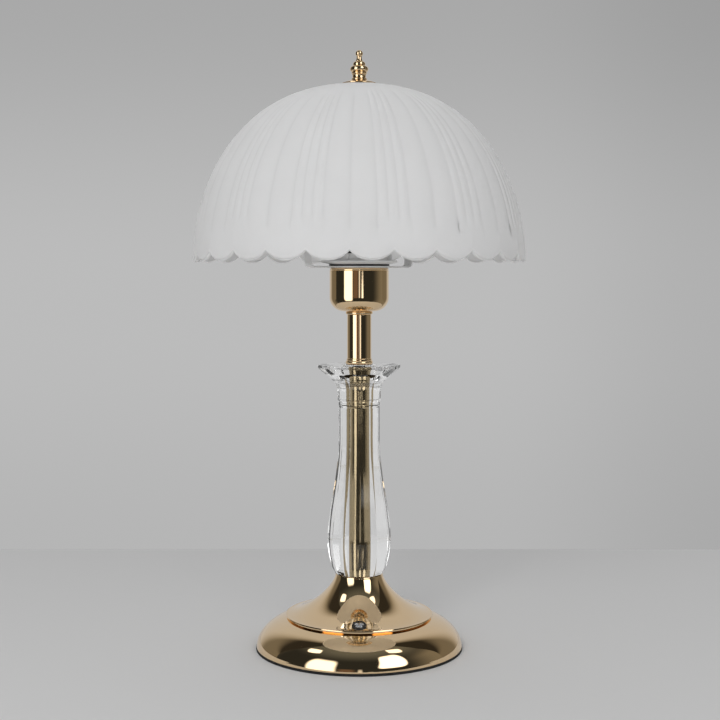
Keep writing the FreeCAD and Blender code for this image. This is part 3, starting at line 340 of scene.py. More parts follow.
finishes = dict(
    polishedBrass=dict(tone=(0.93, 0.70, 0.43), patch=(0.90, 0.665, 0.40), patchScale=25.0,
                       roughness=(0.02, 0.055), sheenScale=70.0, lathe=700.0, relief=0.05, metallic=1.0,
                       sockets={"Coat Weight": 0.25, "Coat Roughness": 0.03}),
    sleeveBrass=dict(tone=(0.42, 0.335, 0.205), patch=(0.36, 0.29, 0.18), patchScale=40.0,
                     roughness=(0.05, 0.11), lathe=900.0, relief=0.08, metallic=1.0),
    cutCrystal=dict(tone=(1.0, 1.0, 1.0), patch=(0.985, 0.99, 0.99), roughness=(0.0, 0.012), waves=1.0,
                    relief=0.03, reliefDepth=0.1, sockets={"Transmission Weight": 1.0, "IOR": 1.5}),
    # the frosted glass's grooveTone is painted shade down the flute valleys
    frostedGlass=dict(tone=(0.915, 0.92, 0.93), patch=(0.885, 0.89, 0.90), patchScale=18.0,
                      roughness=(0.50, 0.62), grain=3200.0, relief=0.12, grooveTone=(0.85, 0.855, 0.865),
                      # its rimTone is a painted highlight along the scalloped rim
                      rimTone=(0.97, 0.975, 0.98),
                      sockets={"Subsurface Weight": 0.7, "Subsurface Scale": 0.02,
                               "Subsurface Radius": (1.0, 1.0, 1.0), "IOR": 1.46}),
    whiteEnamel=dict(tone=(0.91, 0.91, 0.90), patch=(0.87, 0.87, 0.86), roughness=(0.28, 0.4),
                     grain=900.0, relief=0.12),
    ringPlastic=dict(tone=(0.91, 0.91, 0.90), patch=(0.87, 0.87, 0.86), roughness=(0.33, 0.45),
                     grain=3000.0, relief=0.15),
    holderPlastic=dict(tone=(0.018, 0.018, 0.019), patch=(0.028, 0.027, 0.027), roughness=(0.3, 0.45),
                       grain=2600.0, relief=0.2),
    bezelPlastic=dict(tone=(0.012, 0.012, 0.014), patch=(0.02, 0.02, 0.022), roughness=(0.22, 0.35),
                      grain=3500.0, relief=0.12),
    buttonChrome=dict(tone=(0.62, 0.63, 0.65), patch=(0.55, 0.56, 0.58), roughness=(0.08, 0.16),
                      lathe=1500.0, relief=0.06, metallic=1.0),
    zincPlate=dict(tone=(0.62, 0.62, 0.60), patch=(0.5, 0.5, 0.47), patchScale=180.0,
                   roughness=(0.25, 0.42), grain=1400.0, relief=0.2, metallic=1.0),
    castIron=dict(tone=(0.10, 0.098, 0.095), patch=(0.16, 0.12, 0.09), patchScale=50.0,
                  roughness=(0.6, 0.85), grain=700.0, waves=2.0, relief=0.6, reliefDepth=0.3, metallic=0.6),
    tinnedBrass=dict(tone=(0.72, 0.66, 0.50), patch=(0.6, 0.53, 0.38), patchScale=200.0,
                     roughness=(0.22, 0.38), grain=1800.0, relief=0.15, metallic=1.0),
    glazedPorcelain=dict(tone=(0.78, 0.77, 0.73), patch=(0.72, 0.70, 0.66), roughness=(0.12, 0.3),
                         grain=500.0, relief=0.15),
    leadSleeve=dict(tone=(0.55, 0.56, 0.56), patch=(0.42, 0.43, 0.44), roughness=(0.4, 0.55),
                    grain=1800.0, relief=0.2),
    bulbPlastic=dict(tone=(0.80, 0.80, 0.79), patch=(0.75, 0.75, 0.74), roughness=(0.35, 0.5),
                     grain=2600.0, relief=0.12),
    bulbAluminium=dict(tone=(0.75, 0.75, 0.76), patch=(0.62, 0.62, 0.63), patchScale=160.0,
                       roughness=(0.22, 0.35), lathe=2000.0, relief=0.12, metallic=1.0),
    bulbGlaze=dict(tone=(0.03, 0.03, 0.035), patch=(0.05, 0.045, 0.05), roughness=(0.1, 0.25),
                   grain=900.0, relief=0.1),
    opalPlastic=dict(tone=(0.84, 0.84, 0.83), patch=(0.80, 0.80, 0.79), patchScale=40.0,
                     roughness=(0.3, 0.42), grain=2200.0, relief=0.08),
    clearSilicone=dict(tone=(0.90, 0.91, 0.91), patch=(0.86, 0.87, 0.87), roughness=(0.25, 0.4),
                       grain=2200.0, relief=0.1, sockets={"Transmission Weight": 0.2, "IOR": 1.41}),
    footFoam=dict(tone=(0.010, 0.010, 0.010), patch=(0.02, 0.02, 0.02), patchScale=400.0,
                  roughness=(0.8, 0.95), grain=1100.0, relief=0.8, reliefDepth=0.15))
slotFinish = dict(foam_pad="footFoam", zinc_steel="zincPlate", cast_iron="castIron", brass="polishedBrass",
                  black_plastic="holderPlastic", chrome="buttonChrome", tinned_brass="tinnedBrass",
                  crystal="cutCrystal", clear_gasket="clearSilicone", porcelain="glazedPorcelain",
                  white_plastic="ringPlastic", lead_insulation="leadSleeve", white_enamel="whiteEnamel",
                  frosted_glass="frostedGlass", bulb_insulator="bulbGlaze", bulb_aluminium="bulbAluminium",
                  bulb_plastic="bulbPlastic", opal_plastic="opalPlastic")
materials = {name: makeFinish(name, look) for name, look in finishes.items()}
print("materials made:", len(materials))


# Base

shell = dict(crownRadius=34.8, bowSide=2.127, bowTop=1.868, wall=0.9, lip=0.8, hole=5.2, toe=0.25,
             toeHeight=0.6, toeReach=2.0)
trumpet = dict(neckRadius=17.8, neckEdge=1.0, roll=1.05, wall=0.9, bowSide=1.471, bowTop=1.434, hole=5.2,
               edgeLean=0.2, shadowGap=1.2)


def baseShell():
    rim, low, high = span("base_shell")
    wall, lip, hole = shell["wall"], shell["lip"], shell["hole"]
    bow = (shell["crownRadius"], high), shell["bowSide"], shell["bowTop"], 48
    outside = [p for p in bowed((rim - shell["toe"], low + lip), *bow) if p.y > low + shell["toeReach"]]
    inside = bowed((rim, low + lip), *bow, wall)
    foot = [(rim - lip - wall, low), (rim - 0.1, low), (rim, low + 0.15), (rim, low + shell["toeHeight"])]
    return turned(foot + outside + [(hole, high), (hole, high - wall)] + inside[::-1], 192)


def trumpetSide(inset=0.0):
    rim, low, high = span("base_trumpet")
    neck = (trumpet["neckRadius"], high - trumpet["neckEdge"])
    disc = (rim - trumpet["roll"], low + 2 * trumpet["roll"])
    return bowed(neck, disc, trumpet["bowSide"], trumpet["bowTop"], 56, -inset)


def baseTrumpet():
    rim, low, high = span("base_trumpet")
    roll, wall, hole = trumpet["roll"], trumpet["wall"], trumpet["hole"]
    edge = rim - roll
    neck, neckEdge = trumpet["neckRadius"], trumpet["neckEdge"]
    outline = rounded([(hole, high), (neck, high, neckEdge), (neck, high - 4 * neckEdge)], 6)[:-1]
    outline += trumpetSide()
    brow, foot, under = low + 2 * roll, edge - 0.4, low + trumpet["shadowGap"]
    outline += rounded([(edge, brow), (rim - trumpet["edgeLean"], brow, 0.4), (rim, under + 0.15),
                        (rim - 0.2, under), (foot, under), (foot, low), (edge - wall, low),
                        (edge - wall, low + roll)])[1:]
    outline += [p for p in trumpetSide(wall)[::-1] if p.x < edge - wall] + [(hole, high - wall)]
    return turned(outline, 192)


addPiece(baseShell(), "spun_base_shell", "base_shell", "brass")
addPiece(baseTrumpet(), "spun_trumpet", "base_trumpet", "brass")
print("base made")


# Push switch, on an axis square to the trumpet

switch = dict(radius=47.0, bezelRadius=5.35, bezelHeight=0.7, sink=0.5, edge=0.4, barrelRadius=4.0,
              barrelLength=7.0, bore=3.48, boreDepth=3.4, stemBore=1.28, capRadius=3.4, skirt=1.5,
              shoulder=0.8, dome=1.0, stem=1.2, stemLength=5.8)
press = next(joint for joint in frame["joints"] if joint["name"] == "button_press")
switchTilt = math.atan2(press["axis"][1], -press["axis"][2])
switchSeat = Vector((0, -switch["radius"], heightAt(trumpetSide(), switch["radius"]))) * mm
onSwitch = Matrix.Translation(switchSeat) @ Matrix.Rotation(switchTilt, 4, "X")


def switchBezel():
    radius, top, edge, sink = (switch[part] for part in ("bezelRadius", "bezelHeight", "edge", "sink"))
    barrel, bore, stemBore = switch["barrelRadius"], switch["bore"], switch["stemBore"]
    bottom = -switch["barrelLength"]
    bm = turned(rounded([(stemBore, bottom), (barrel, bottom, 0.3), (barrel, -sink), (radius, -sink),
                         (radius, top, edge), (bore, top, 0.2), (bore, -switch["boreDepth"]),
                         (stemBore, -switch["boreDepth"])]), 96)
    bm.transform(onSwitch)
    return bm


def buttonCap():
    radius, shoulder, stem = switch["capRadius"], switch["shoulder"], switch["stem"]
    top, bottom = shoulder + switch["dome"], switch["stemLength"]
    crown = arcThrough((radius - 0.3, shoulder + 0.2), (radius * 0.62, top - 0.42), (0, top), 14)
    bm = turned([(0, -bottom), (stem, -bottom), (stem, -switch["skirt"]), (radius, -switch["skirt"]),
                 (radius, shoulder - 0.15), (radius - 0.1, shoulder + 0.1)] + crown, 96)
    bm.transform(onSwitch)
    return bm


addPiece(switchBezel(), "switch_bezel_ring", "switch_bezel", "black_plastic", "bezelPlastic")
addPiece(buttonCap(), "push_button", "button_cap", "chrome", body="button")


# Crystal column, twelve long facets round a bored core

crystal = dict(facets=12, turn=3.7, perFacet=4, footRadius=18.4, footLean=0.42,
               bulb=[(21.2, 6.6), (24.0, 23.6), (21.9, 46.5), (18.2, 69.5), (16.1, 87.5), (15.5, 103.0)],
               waistTop=128.6, step=0.8, grooveDrop=4.1, grooveWidth=1.2, grooveDepth=0.5, neckHeight=136.0,
               flareRadius=12.0, flareTurn=50.0, rimHeight=3.0, rimBevel=0.9, rimWidth=1.4, bore=6.1,
               dishInner=12.5, dishDepth=1.6, edge=0.4, arris=0.22, arrisAngles=(20.0, 40.0), leastArris=0.2)


def crystalRows(bottom, top, rim):
    waist = crystal["bulb"][-1][0]
    neck = waist + crystal["step"]
    waistTop = bottom + crystal["waistTop"]
    groove = waistTop - crystal["grooveDrop"]
    half = crystal["grooveWidth"] / 2
    points = [(crystal["footRadius"], 0.0)] + crystal["bulb"]
    rows = smoothLine([(r, bottom + z) for r, z in points], (crystal["footLean"], 1), (0, 1), 9)
    rows += [(waist, groove), (waist - crystal["grooveDepth"], groove + half), (waist, groove + 2 * half),
             (waist, waistTop), (neck, waistTop + crystal["step"])]
    for k in range(11):
        turn = math.radians(crystal["flareTurn"] * k / 10)
        rows.append((neck + crystal["flareRadius"] * (1 - math.cos(turn)),
                     bottom + crystal["neckHeight"] + crystal["flareRadius"] * math.sin(turn)))
    edge, bevel = crystal["edge"], crystal["rimBevel"]
    rimBottom = top - crystal["rimHeight"]
    return rows + [(rim - bevel, rimBottom), (rim, rimBottom + bevel), (rim, top - edge), (rim - edge, top)]


def crystalColumn():
    bottom = span("crystal_lower_washer")[2]
    rim, top = span("crystal_column")[::2]
    rim = rim / math.cos(math.radians(crystal["turn"]))
    (reach, start), *rows = crystalRows(bottom, top, rim)
    bm = bmesh.new()
    place = turnBy(crystal["turn"]) @ Matrix.Translation((0, 0, start * mm))
    bmesh.ops.create_circle(bm, segments=crystal["facets"], radius=reach * mm, matrix=place)
    bmesh.ops.subdivide_edges(bm, edges=bm.edges[:], cuts=crystal["perFacet"] - 1)
    first = ring = bm.edges[:]
    for radius, height in rows:
        ring = raiseRing(bm, ring, height, scale=radius / reach)
        reach = radius
    dishEdge = rim * math.cos(math.pi / crystal["facets"]) - crystal["rimWidth"]
    dish, bore = crystal["dishInner"], crystal["bore"]
    for radius, height in ((dishEdge, top), (dish, top - crystal["dishDepth"]), (dish, top), (bore, top),
                           (bore, bottom)):
        ring = raiseRing(bm, ring, height, circle=radius)
    bmesh.ops.bridge_loops(bm, edges=first + ring)
    bm.normal_update()
    low, high = (math.radians(angle) for angle in crystal["arrisAngles"])
    arrises = [e for e in bm.edges if len(e.link_faces) == 2 and low < e.calc_face_angle(0) < high
               and abs(e.verts[0].co.z - e.verts[1].co.z) > crystal["leastArris"] * mm
               and min(v.co.xy.length for v in e.verts) > 1.5 * bore * mm]
    soften(bm, crystal["arris"], 1, edges=arrises)
    return bm


def raiseRing(bm, ring, height, scale=1.0, circle=None):
    # the ring is extruded, then scaled or laid on a circle, at the new height
    fresh = bmesh.ops.extrude_edge_only(bm, edges=ring)["geom"]
    for v in (item for item in fresh if isinstance(item, bmesh.types.BMVert)):
        flat = v.co.xy * scale if circle is None else v.co.xy.normalized() * circle * mm
        v.co = (flat.x, flat.y, height * mm)
    return [item for item in fresh if isinstance(item, bmesh.types.BMEdge)]


sleeve = dict(wall=0.7)
rod = dict(bore=3.5, pitch=1.0, depth=0.35)


def pipeNode(node, wall, edge=0.15, steps=96):
    radius, low, high = span(node)
    return turned(rounded([(radius - wall, low, edge), (radius, low, edge), (radius, high, edge),
                           (radius - wall, high, edge)], 2), steps)


def threadedRod():
    radius, low, high = span("threaded_rod")
    side = ridged(radius, low, high, rod["pitch"], rod["depth"])
    return turned(side + [(rod["bore"], high), (rod["bore"], low)], 48)


addPiece(crystalColumn(), "cut_crystal", "crystal_column", "crystal", sharp=9)
addPiece(pipeNode("inner_sleeve", sleeve["wall"]), "column_sleeve", "inner_sleeve", "brass", "sleeveBrass")
addPiece(threadedRod(), "clamp_rod", "threaded_rod", "zinc_steel")
print("crystal column made")


# Collars, stem and cup

collar = dict(hole=5.2, step=0.7, footHeight=3.0, edge=0.4, roll=0.8)
stem = dict(wall=0.8)
cup = dict(footBend=10.5, wall=0.8, curl=1.4, groove=2.3, grooveDepth=0.3, grooveWidth=0.6, mouthStep=0.1,
           hole=5.2)


def lowerCollar():
    radius, low, high = span("lower_collar")
    waist, foot, hole = radius - collar["step"], low + collar["footHeight"], collar["hole"]
    bead = arcThrough((waist, low), (radius, (low + foot) / 2), (waist, foot), 10)
    top = rounded([(waist, foot), (waist, high, collar["edge"]), (hole, high)])[1:]
    return turned([(hole, low)] + bead + top)


def upperCollar():
    radius, low, high = span("upper_collar")
    waist, hole = radius - collar["roll"], collar["hole"]
    bead = arcThrough((waist, low), (radius, (low + high) / 2), (waist, high), 10)
    return turned([(hole, low)] + bead + [(hole, high)])


def holderCup():
    radius, low, high = span("holder_cup")
    wall, bend, curl, hole = cup["wall"], cup["footBend"], cup["curl"], cup["hole"]
    groove, mouth = high - cup["groove"], radius - cup["mouthStep"]
    outside = [(hole, low), (radius, low, bend), (radius, groove),
               (radius - cup["grooveDepth"], groove + cup["grooveWidth"] / 2),
               (mouth, groove + cup["grooveWidth"]), (mouth, high, curl)]
    inside = [(radius - curl - wall, high), (radius - wall - 0.5, groove),
              (radius - wall, low + wall, bend - wall), (hole, low + wall)]
    return turned(rounded(outside + inside, 12), 192)


addPiece(lowerCollar(), "stem_foot_collar", "lower_collar", "brass")
addPiece(pipeNode("stem_tube", stem["wall"], steps=144), "stem_pipe", "stem_tube", "brass")
addPiece(upperCollar(), "stem_head_collar", "upper_collar", "brass")
addPiece(holderCup(), "spun_cup", "holder_cup", "brass")
print("stem and cup made")


# Lampholder and harp

holder = dict(capWall=2.2, capBend=8.0, boss=8.0, bossHeight=4.0, rod=5.0, flangeRadius=22.8,
              flangeThickness=1.4, capRadius=20.6, threadRadius=19.8, boreRadius=14.4, mouthEdge=1.0,
              edge=0.3, threadPitch=3.0, threadDepth=0.7)
shadeNut = dict(threadRadius=19.8, edge=1.4, cone=1.3, collarRadius=23.4, grips=12, gripWidth=2.0,
                gripDepth=1.4, turn=9.0, soft=0.4)
harp = dict(turn=25.0, radius=42.8, width=12.0, thickness=1.2, bend=3.0, plateRadius=22.6, plateHole=20.7,
            soft=0.25)


def holderCap():
    radius, low, high = span("holder_cap")
    wall, bend, rodHole, boss = holder["capWall"], holder["capBend"], holder["rod"], holder["boss"]
    bossTop = low + holder["bossHeight"]
    return turned(rounded([(rodHole, low), (radius, low, bend), (radius, high, 0.2),
                           (radius - wall, high, 0.2), (radius - wall, low + wall, bend - wall),
                           (boss, low + wall, 0.6), (boss, bossTop, 0.4), (rodHole, bossTop)], 8), 96)


def holderSkirt():
    low, high = span("holder_skirt")[1:]
    plate = span("shade_ring")[1]
    cap, spigot = holder["capRadius"], holder["capRadius"] - holder["capWall"]
    joint = span("holder_cap")[2]
    under = plate - holder["flangeThickness"]
    radius, edge, mouth = holder["flangeRadius"], holder["edge"], holder["mouthEdge"]
    thread, bore = holder["threadRadius"], holder["boreRadius"]
    outline = rounded([(bore, low), (spigot, low), (spigot, joint), (cap, joint), (cap, under),
                       (radius, under, edge), (radius, plate, edge), (thread, plate)])
    outline += ridged(thread, plate + 0.2, high - mouth, holder["threadPitch"], holder["threadDepth"])
    outline += rounded([(thread, high - mouth), (thread - mouth, high, 0.3), (bore + mouth, high, 0.3),
                        (bore, high - mouth), (bore, low)])[1:-1]
    return turned(outline, 96)


def shadeRing():
    radius, low, high = span("shade_ring")
    flange = low + shadeNut["cone"]
    foot = flange + shadeNut["edge"]
    wall, soft = shadeNut["collarRadius"], shadeNut["soft"]
    inner = shadeNut["threadRadius"] + 0.05
    bm = turned(rounded([(inner, low), (holder["flangeRadius"], low), (radius, flange, 0.2),
                         (radius, foot, soft), (wall, foot, 0.3), (wall, high, soft),
                         (inner, high, 0.2)], 5), 144)
    grips = bmesh.new()
    depth, half = shadeNut["gripDepth"], shadeNut["gripWidth"] / 2
    for k in range(shadeNut["grips"]):
        turn = turnBy(shadeNut["turn"] + 360 / shadeNut["grips"] * k)
        block(grips, (wall - depth, -half, foot - 0.2), (wall + depth, half, high - soft), turn)
    soften(grips, 0.35, 2)
    return absorb(bm, grips)


def harpBow():
    low, high = span("harp_bow")[1:]
    t, half, soft = harp["thickness"], harp["width"] / 2, harp["soft"]
    start, side = harp["plateRadius"] - 1.0, harp["radius"] - t / 2
    bottom, top, bend = low + t / 2, high - t / 2, harp["bend"] + t / 2
    path = rounded([(start, bottom), (side, bottom, bend), (side, top, bend), (-side, top, bend),
                    (-side, bottom, bend), (-start, bottom)], 8)
    bm = bmesh.new()
    verts = [bm.verts.new((x * mm, -half * mm, z * mm)) for x, z in path]
    line = [bm.edges.new(pair) for pair in zip(verts, verts[1:])]
    fresh = bmesh.ops.extrude_edge_only(bm, edges=line)["geom"]
    far = [v for v in fresh if isinstance(v, bmesh.types.BMVert)]
    bmesh.ops.translate(bm, verts=far, vec=(0, 2 * half * mm, 0))
    bmesh.ops.recalc_face_normals(bm, faces=bm.faces)
    bmesh.ops.solidify(bm, geom=bm.faces[:], thickness=t * mm)
    lowest = min(v.co.z for v in bm.verts)
    bmesh.ops.translate(bm, verts=bm.verts, vec=(0, 0, low * mm - lowest))
    soften(bm, soft, 2, 50)
    hole, rim = harp["plateHole"], harp["plateRadius"]
    absorb(bm, turned(rounded([(hole, low, soft), (rim, low, soft), (rim, low + t, soft),
                               (hole, low + t, soft)], 2), 96))
    bm.transform(turnBy(harp["turn"]))
    return bm


stud = dict(edge=0.5, pitch=1.0, depth=0.3, nutAcross=10.0, radius=2.95, fit=0.05)
seat = dict(flange=1.5, boss=5.5, fillet=1.0, edge=0.4, bore=2.95)


def harpStud():
    radius, low, high = span("harp_stud")
    edge = stud["edge"]
    side = ridged(radius, low + edge, high - edge, stud["pitch"], stud["depth"])
    return turned([(0, low), (radius - edge, low)] + side + [(radius - edge, high), (0, high)], 48)


def shadeSeat():
    radius, low, high = span("shade_seat")
    flange, edge, bore = high - seat["flange"], seat["edge"], seat["bore"] + stud["fit"]
    return turned(rounded([(bore, low), (seat["boss"], low, 0.3), (seat["boss"], flange, seat["fillet"]),
                           (radius, flange, edge), (radius, high, edge), (bore, high, 0.3)]), 96)


addPiece(holderCap(), "holder_lower_half", "holder_cap", "black_plastic")
addPiece(holderSkirt(), "holder_upper_half", "holder_skirt", "black_plastic")
addPiece(shadeRing(), "shade_ring_nut", "shade_ring", "white_plastic")
addPiece(harpBow(), "harp_strip", "harp_bow", "white_enamel")
addPiece(harpStud(), "threaded_stud", "harp_stud", "zinc_steel")
addPiece(hexNut(stud["nutAcross"], stud["radius"], *span("stud_nut")[1:], harp["turn"]), "stud_hex_nut",
         "stud_nut", "zinc_steel")
addPiece(shadeSeat(), "turned_seat", "shade_seat", "white_enamel")
print("lampholder and harp made")


# Glass dome: a spun outline, drawn into flutes and creases, its foot drawn into lobes

dome = dict(rimRadius=124.35, rimRise=1.2, rise=132.35, bowSide=2.363, bowTop=1.976, flatRadius=16.0,
            hole=5.2, wall=3.2, lip=1.5, lobes=26, lobeTurn=4.0, lobeRadius=20.6, lobeColumns=24,
            bandHeight=22.6, ribs=[6, 6, 6, 15, 15], ribDepth=0.5, rimBand=3.2, fluteFoot=23.0, fluteFade=7.0,
            creaseFoot=17.0, fluteTop=128.5, topFade=14.0)
firstColumn = -sum(dome["ribs"][:3]) / 2


def domeSide(inset, steps):
    low = span("glass_shade")[1] + dome["rimRise"]
    stop = math.degrees(math.acos((dome["flatRadius"] / dome["rimRadius"]) ** (dome["bowSide"] / 2)))
    return bowed((dome["rimRadius"], low), (0, low + dome["rise"]), dome["bowSide"], dome["bowTop"], steps,
                 inset, stop)


def ribSlack(column):
    # how far the wall sinks, 1 in a valley, and the rib's width: the valleys fall on columns, with three
    # narrow ribs over a cusp, then two wide ones up to the next crease
    start = firstColumn
    for width in dome["ribs"]:
        share = (column - start) / width
        if 0 <= share <= 1:
            return (2 * share - 1) ** 2, width
        start += width
    return 0.0, 1


def easeIn(value):
    value = min(max(value, 0.0), 1.0)
    return value * value * (3 - 2 * value)


def glassDome():
    # one flute group and one crease, two lobes wide, is spun and drawn into shape, then repeated
    foot, top = span("glass_shade")[1:]
    wall, lip, rim = dome["wall"], dome["lip"], dome["rimRadius"]
    outside, inside = domeSide(0.0, 64), domeSide(wall, 44)
    outline = [Vector((dome["hole"], top)), Vector((dome["flatRadius"] * 0.6, top))] + outside[::-1]
    outline += arcThrough((rim, foot + lip), (rim - wall / 2, foot), (rim - wall, foot + lip), 8)
    outline = [p for i, p in enumerate(outline) if i == 0 or (p - outline[i - 1]).length > 0.02]
    outline += inside + [Vector((dome["hole"], top - wall))]
    bm = bmesh.new()
    # two marks for the finish: groove carries painted shade down each flute valley, rim a painted highlight
    # along the scalloped foot
    groove, paintedRimHighlight = (bm.verts.layers.float.new(label) for label in ("groove", "rim"))
    facing = bm.verts.layers.float_vector.new("facing")
    verts = [bm.verts.new((r * mm, 0, z * mm)) for r, z in outline]
    for v in verts[2:2 + len(outside)]:
        near = min(range(1, len(outside) - 1), key=lambda i: (outside[i] * mm - v.co.xz).length)
        along = (outside[near + 1] - outside[near - 1]).normalized()
        v[facing] = (along.y, 0, -along.x)
    edges = [bm.edges.new(pair) for pair in zip(verts, verts[1:] + verts[:1])]
    columns, lobes = dome["lobeColumns"], dome["lobes"]
    period, repeats = 2 * columns, lobes // 2
    step = math.tau / (repeats * period)
    bmesh.ops.rotate(bm, verts=verts, cent=(0, 0, 0), matrix=Matrix.Rotation(firstColumn * step, 3, "Z"))
    bmesh.ops.spin(bm, geom=verts + edges, cent=(0, 0, 0), axis=(0, 0, 1), angle=step * period, steps=period)
    for v in bm.verts:
        column = round(math.atan2(v.co.y, v.co.x) / step)
        level = v.co.z / mm - foot
        lean = v[facing]
        if lean.length > 0.5:
            sunk, width = ribSlack(column)
            foothold = dome["fluteFoot"] if width < columns / 3 else dome["creaseFoot"]
            sunk *= easeIn((level - foothold) / dome["fluteFade"])
            sunk *= easeIn((dome["fluteTop"] - level) / dome["topFade"])
            out = v.co.xy.normalized() * lean.x
            v.co -= Vector((out.x, out.y, lean.z)) * sunk * dome["ribDepth"] * mm
            # painted shade, strongest at the bottom of each valley
            v[groove] = sunk ** 4
        # painted highlight, fading out up the rim band
        v[paintedRimHighlight] = 1 - easeIn((level - 1) / dome["rimBand"])
        if level < dome["bandHeight"]:
            aside = ((column % columns) / columns - 0.5) * math.tau * rim / lobes
            lift = dome["lobeRadius"] - math.sqrt(dome["lobeRadius"] ** 2 - aside ** 2)
            v.co.z += lift * (1 - level / dome["bandHeight"]) * mm
    bm.verts.layers.float_vector.remove(facing)
    bmesh.ops.spin(bm, geom=bm.verts[:] + bm.edges[:] + bm.faces[:], cent=(0, 0, 0), axis=(0, 0, 1),
                   angle=math.tau * (repeats - 1) / repeats, steps=repeats - 1, use_duplicate=True)
    firstCusp = dome["lobeTurn"] + 180 / lobes - 90
    bm.transform(turnBy(firstCusp))
    return bm


addPiece(glassDome(), "frosted_dome", "glass_shade", "frosted_glass", body="shade", sharp=50)
print("dome made")


# Gaskets and finial

gasket = dict(hole=3.4, edge=0.3)
capWasher = dict(wall=0.8, lip=0.6, bow=1.9, crown=6.6, shoulder=3.0, hole=3.4)
knob = dict(footRadius=6.0, footHeight=0.9, edge=0.4, bore=3.03, boreDepth=12.4,
            waist=[(5.6, 1.2), (5.1, 2.6), (5.6, 4.6)], bell=[(5.6, 4.6), (5.95, 5.2), (5.6, 5.8)],
            ball=[(5.8, 6.0), (7.0, 8.1), (5.4, 10.6)], shoulder=[(4.6, 11.0), (4.7, 12.4), (3.0, 14.2)],
            neck=[(3.0, 14.2), (2.1, 16.2), (2.0, 18.0)], tip=2.8)


def flatGasket(node):
    radius, low, high = span(node)
    edge = gasket["edge"]
    return turned(rounded([(gasket["hole"], low), (radius, low, edge), (radius, high, edge),
                           (gasket["hole"], high)]), 96)


def finialWasher():
    rim, low, high = span("finial_washer")
    wall, crown, hole = capWasher["wall"], capWasher["crown"], capWasher["hole"]
    shoulder, bow = rim - capWasher["shoulder"], low + capWasher["bow"]
    over = arcThrough((rim, low + capWasher["lip"]), (shoulder, bow), (crown, high), 16)
    under = arcThrough((crown, high - wall), (shoulder, bow - wall), (rim - wall, low), 16)
    edge = [(rim - 0.2, low), (rim, low + 0.2)]
    return turned([(hole, high), (hole, high - wall)] + under + edge + over, 144)


def finialKnob():
    low = span("finial_knob")[1]
    foot, bore, boreTop, tip = knob["footRadius"], knob["bore"], low + knob["boreDepth"], knob["tip"]
    raised = [[(r, low + z) for r, z in knob[part]] for part in ("waist", "bell", "ball", "shoulder", "neck")]
    neckRadius, neckTop = raised[-1][-1]
    centre = neckTop + math.sqrt(tip ** 2 - neckRadius ** 2)
    turn = (math.pi - math.asin(neckRadius / tip)) / 2
    outline = rounded([(bore, low), (foot, low, knob["edge"]), (foot, low + knob["footHeight"], 0.2),
                       raised[0][0]])
    for part in raised:
        outline += arcThrough(*part, 12)
    crown = (tip * math.sin(turn), centre + tip * math.cos(turn))
    outline += arcThrough((neckRadius, neckTop), crown, (0, centre + tip), 16)
    outline += [Vector((0, boreTop)), Vector((bore, boreTop))]
    outline = [p for i, p in enumerate(outline) if i == 0 or (p - outline[i - 1]).length > 0.01]
    return turned(outline, 144)


for node, name in (("lower_gasket", "gasket_under_glass"), ("upper_gasket", "gasket_over_glass")):
    addPiece(flatGasket(node), name, node, "clear_gasket", body="shade")
addPiece(finialWasher(), "spun_washer", "finial_washer", "brass", body="cap")
addPiece(finialKnob(), "turned_finial", "finial_knob", "brass", body="finial")
print("finial made")


# Bulb

bulb = dict(tipRise=0.8, flange=1.0, shoulder=3.0, capBend=2.4, thread=3.6, threadDepth=1.1, threadEnd=3.0,
            capLip=2.6, neckRadius=14.0, neckHeight=1.5, waist=17.0, globe=30.0, globeWall=1.0)


def bulbTip():
    radius, low, high = span("bulb_tip")
    rise = bulb["tipRise"]
    pip = arcThrough((0, low), (radius * 0.62, low + rise * 0.35), (radius, low + rise), 8)
    return turned(pip + [(radius, high), (0, high)], 64)


def bulbInsulator():
    radius, low, high = span("bulb_insulator")
    return turned(rounded([(0, low), (span("bulb_tip")[0] + bulb["flange"], low, 0.4), (radius, high),
                           (0, high)]), 64)


def bulbCap():
    radius, low, high = span("bulb_cap")
    side = ridged(radius, low + bulb["capBend"], high - bulb["threadEnd"], bulb["thread"],
                  bulb["threadDepth"], 10)
    return turned([(0, low), (radius - bulb["shoulder"], low)] + side
                  + [(radius, high - bulb["capLip"]), (radius, high), (0, high)], 96)


def bulbHousing():
    radius, low, high = span("bulb_housing")
    neck, waist = bulb["neckRadius"], (bulb["waist"], (low + high) / 2)
    side = arcThrough((neck, low + bulb["neckHeight"]), waist, (radius, high - 0.3), 20)
    return turned([(0, low), (neck - 0.4, low), (neck, low + 0.4)] + side
                  + [(radius - 0.3, high), (0, high)], 128)


def bulbGlobe():
    low, high = span("bulb_globe")[1:]
    radius, wall = bulb["globe"], bulb["globeWall"]
    centre = high - radius
    drop = math.asin((low - centre) / radius)
    outer = [Vector((radius * math.cos(a), centre + radius * math.sin(a)))
             for a in (drop + (math.pi / 2 - drop) * k / 40 for k in range(41))]
    inner = [Vector((p.x * (radius - wall) / radius, centre + (p.y - centre) * (radius - wall) / radius))
             for p in outer]
    inner[0].y = low
    return turned(outer + inner[::-1], 128)


for make, name, node, slotName in ((bulbTip, "contact_pip", "bulb_tip", "tinned_brass"),
                                   (bulbInsulator, "cap_glaze", "bulb_insulator", "bulb_insulator"),
                                   (bulbCap, "screw_cap", "bulb_cap", "bulb_aluminium"),
                                   (bulbHousing, "bulb_neck", "bulb_housing", "bulb_plastic"),
                                   (bulbGlobe, "opal_globe", "bulb_globe", "opal_plastic")):
    addPiece(make(), name, node, slotName, body="bulb")
print("bulb made")


# Pieces that keep their shape from the frame

for node in frame["nodes"].values():
    for keptSlot in node.material_slots:
        keptName = keptSlot.material.name.split(".")[0]
        if keptName in slotFinish:
            keptSlot.material = materials[slotFinish[keptName]]


# Stage: a pale floor, a plain backdrop, two soft lamps, and a dim room that only gloss and glass see.
# Four numbers are a slope: where it starts and ends, and its level before and after

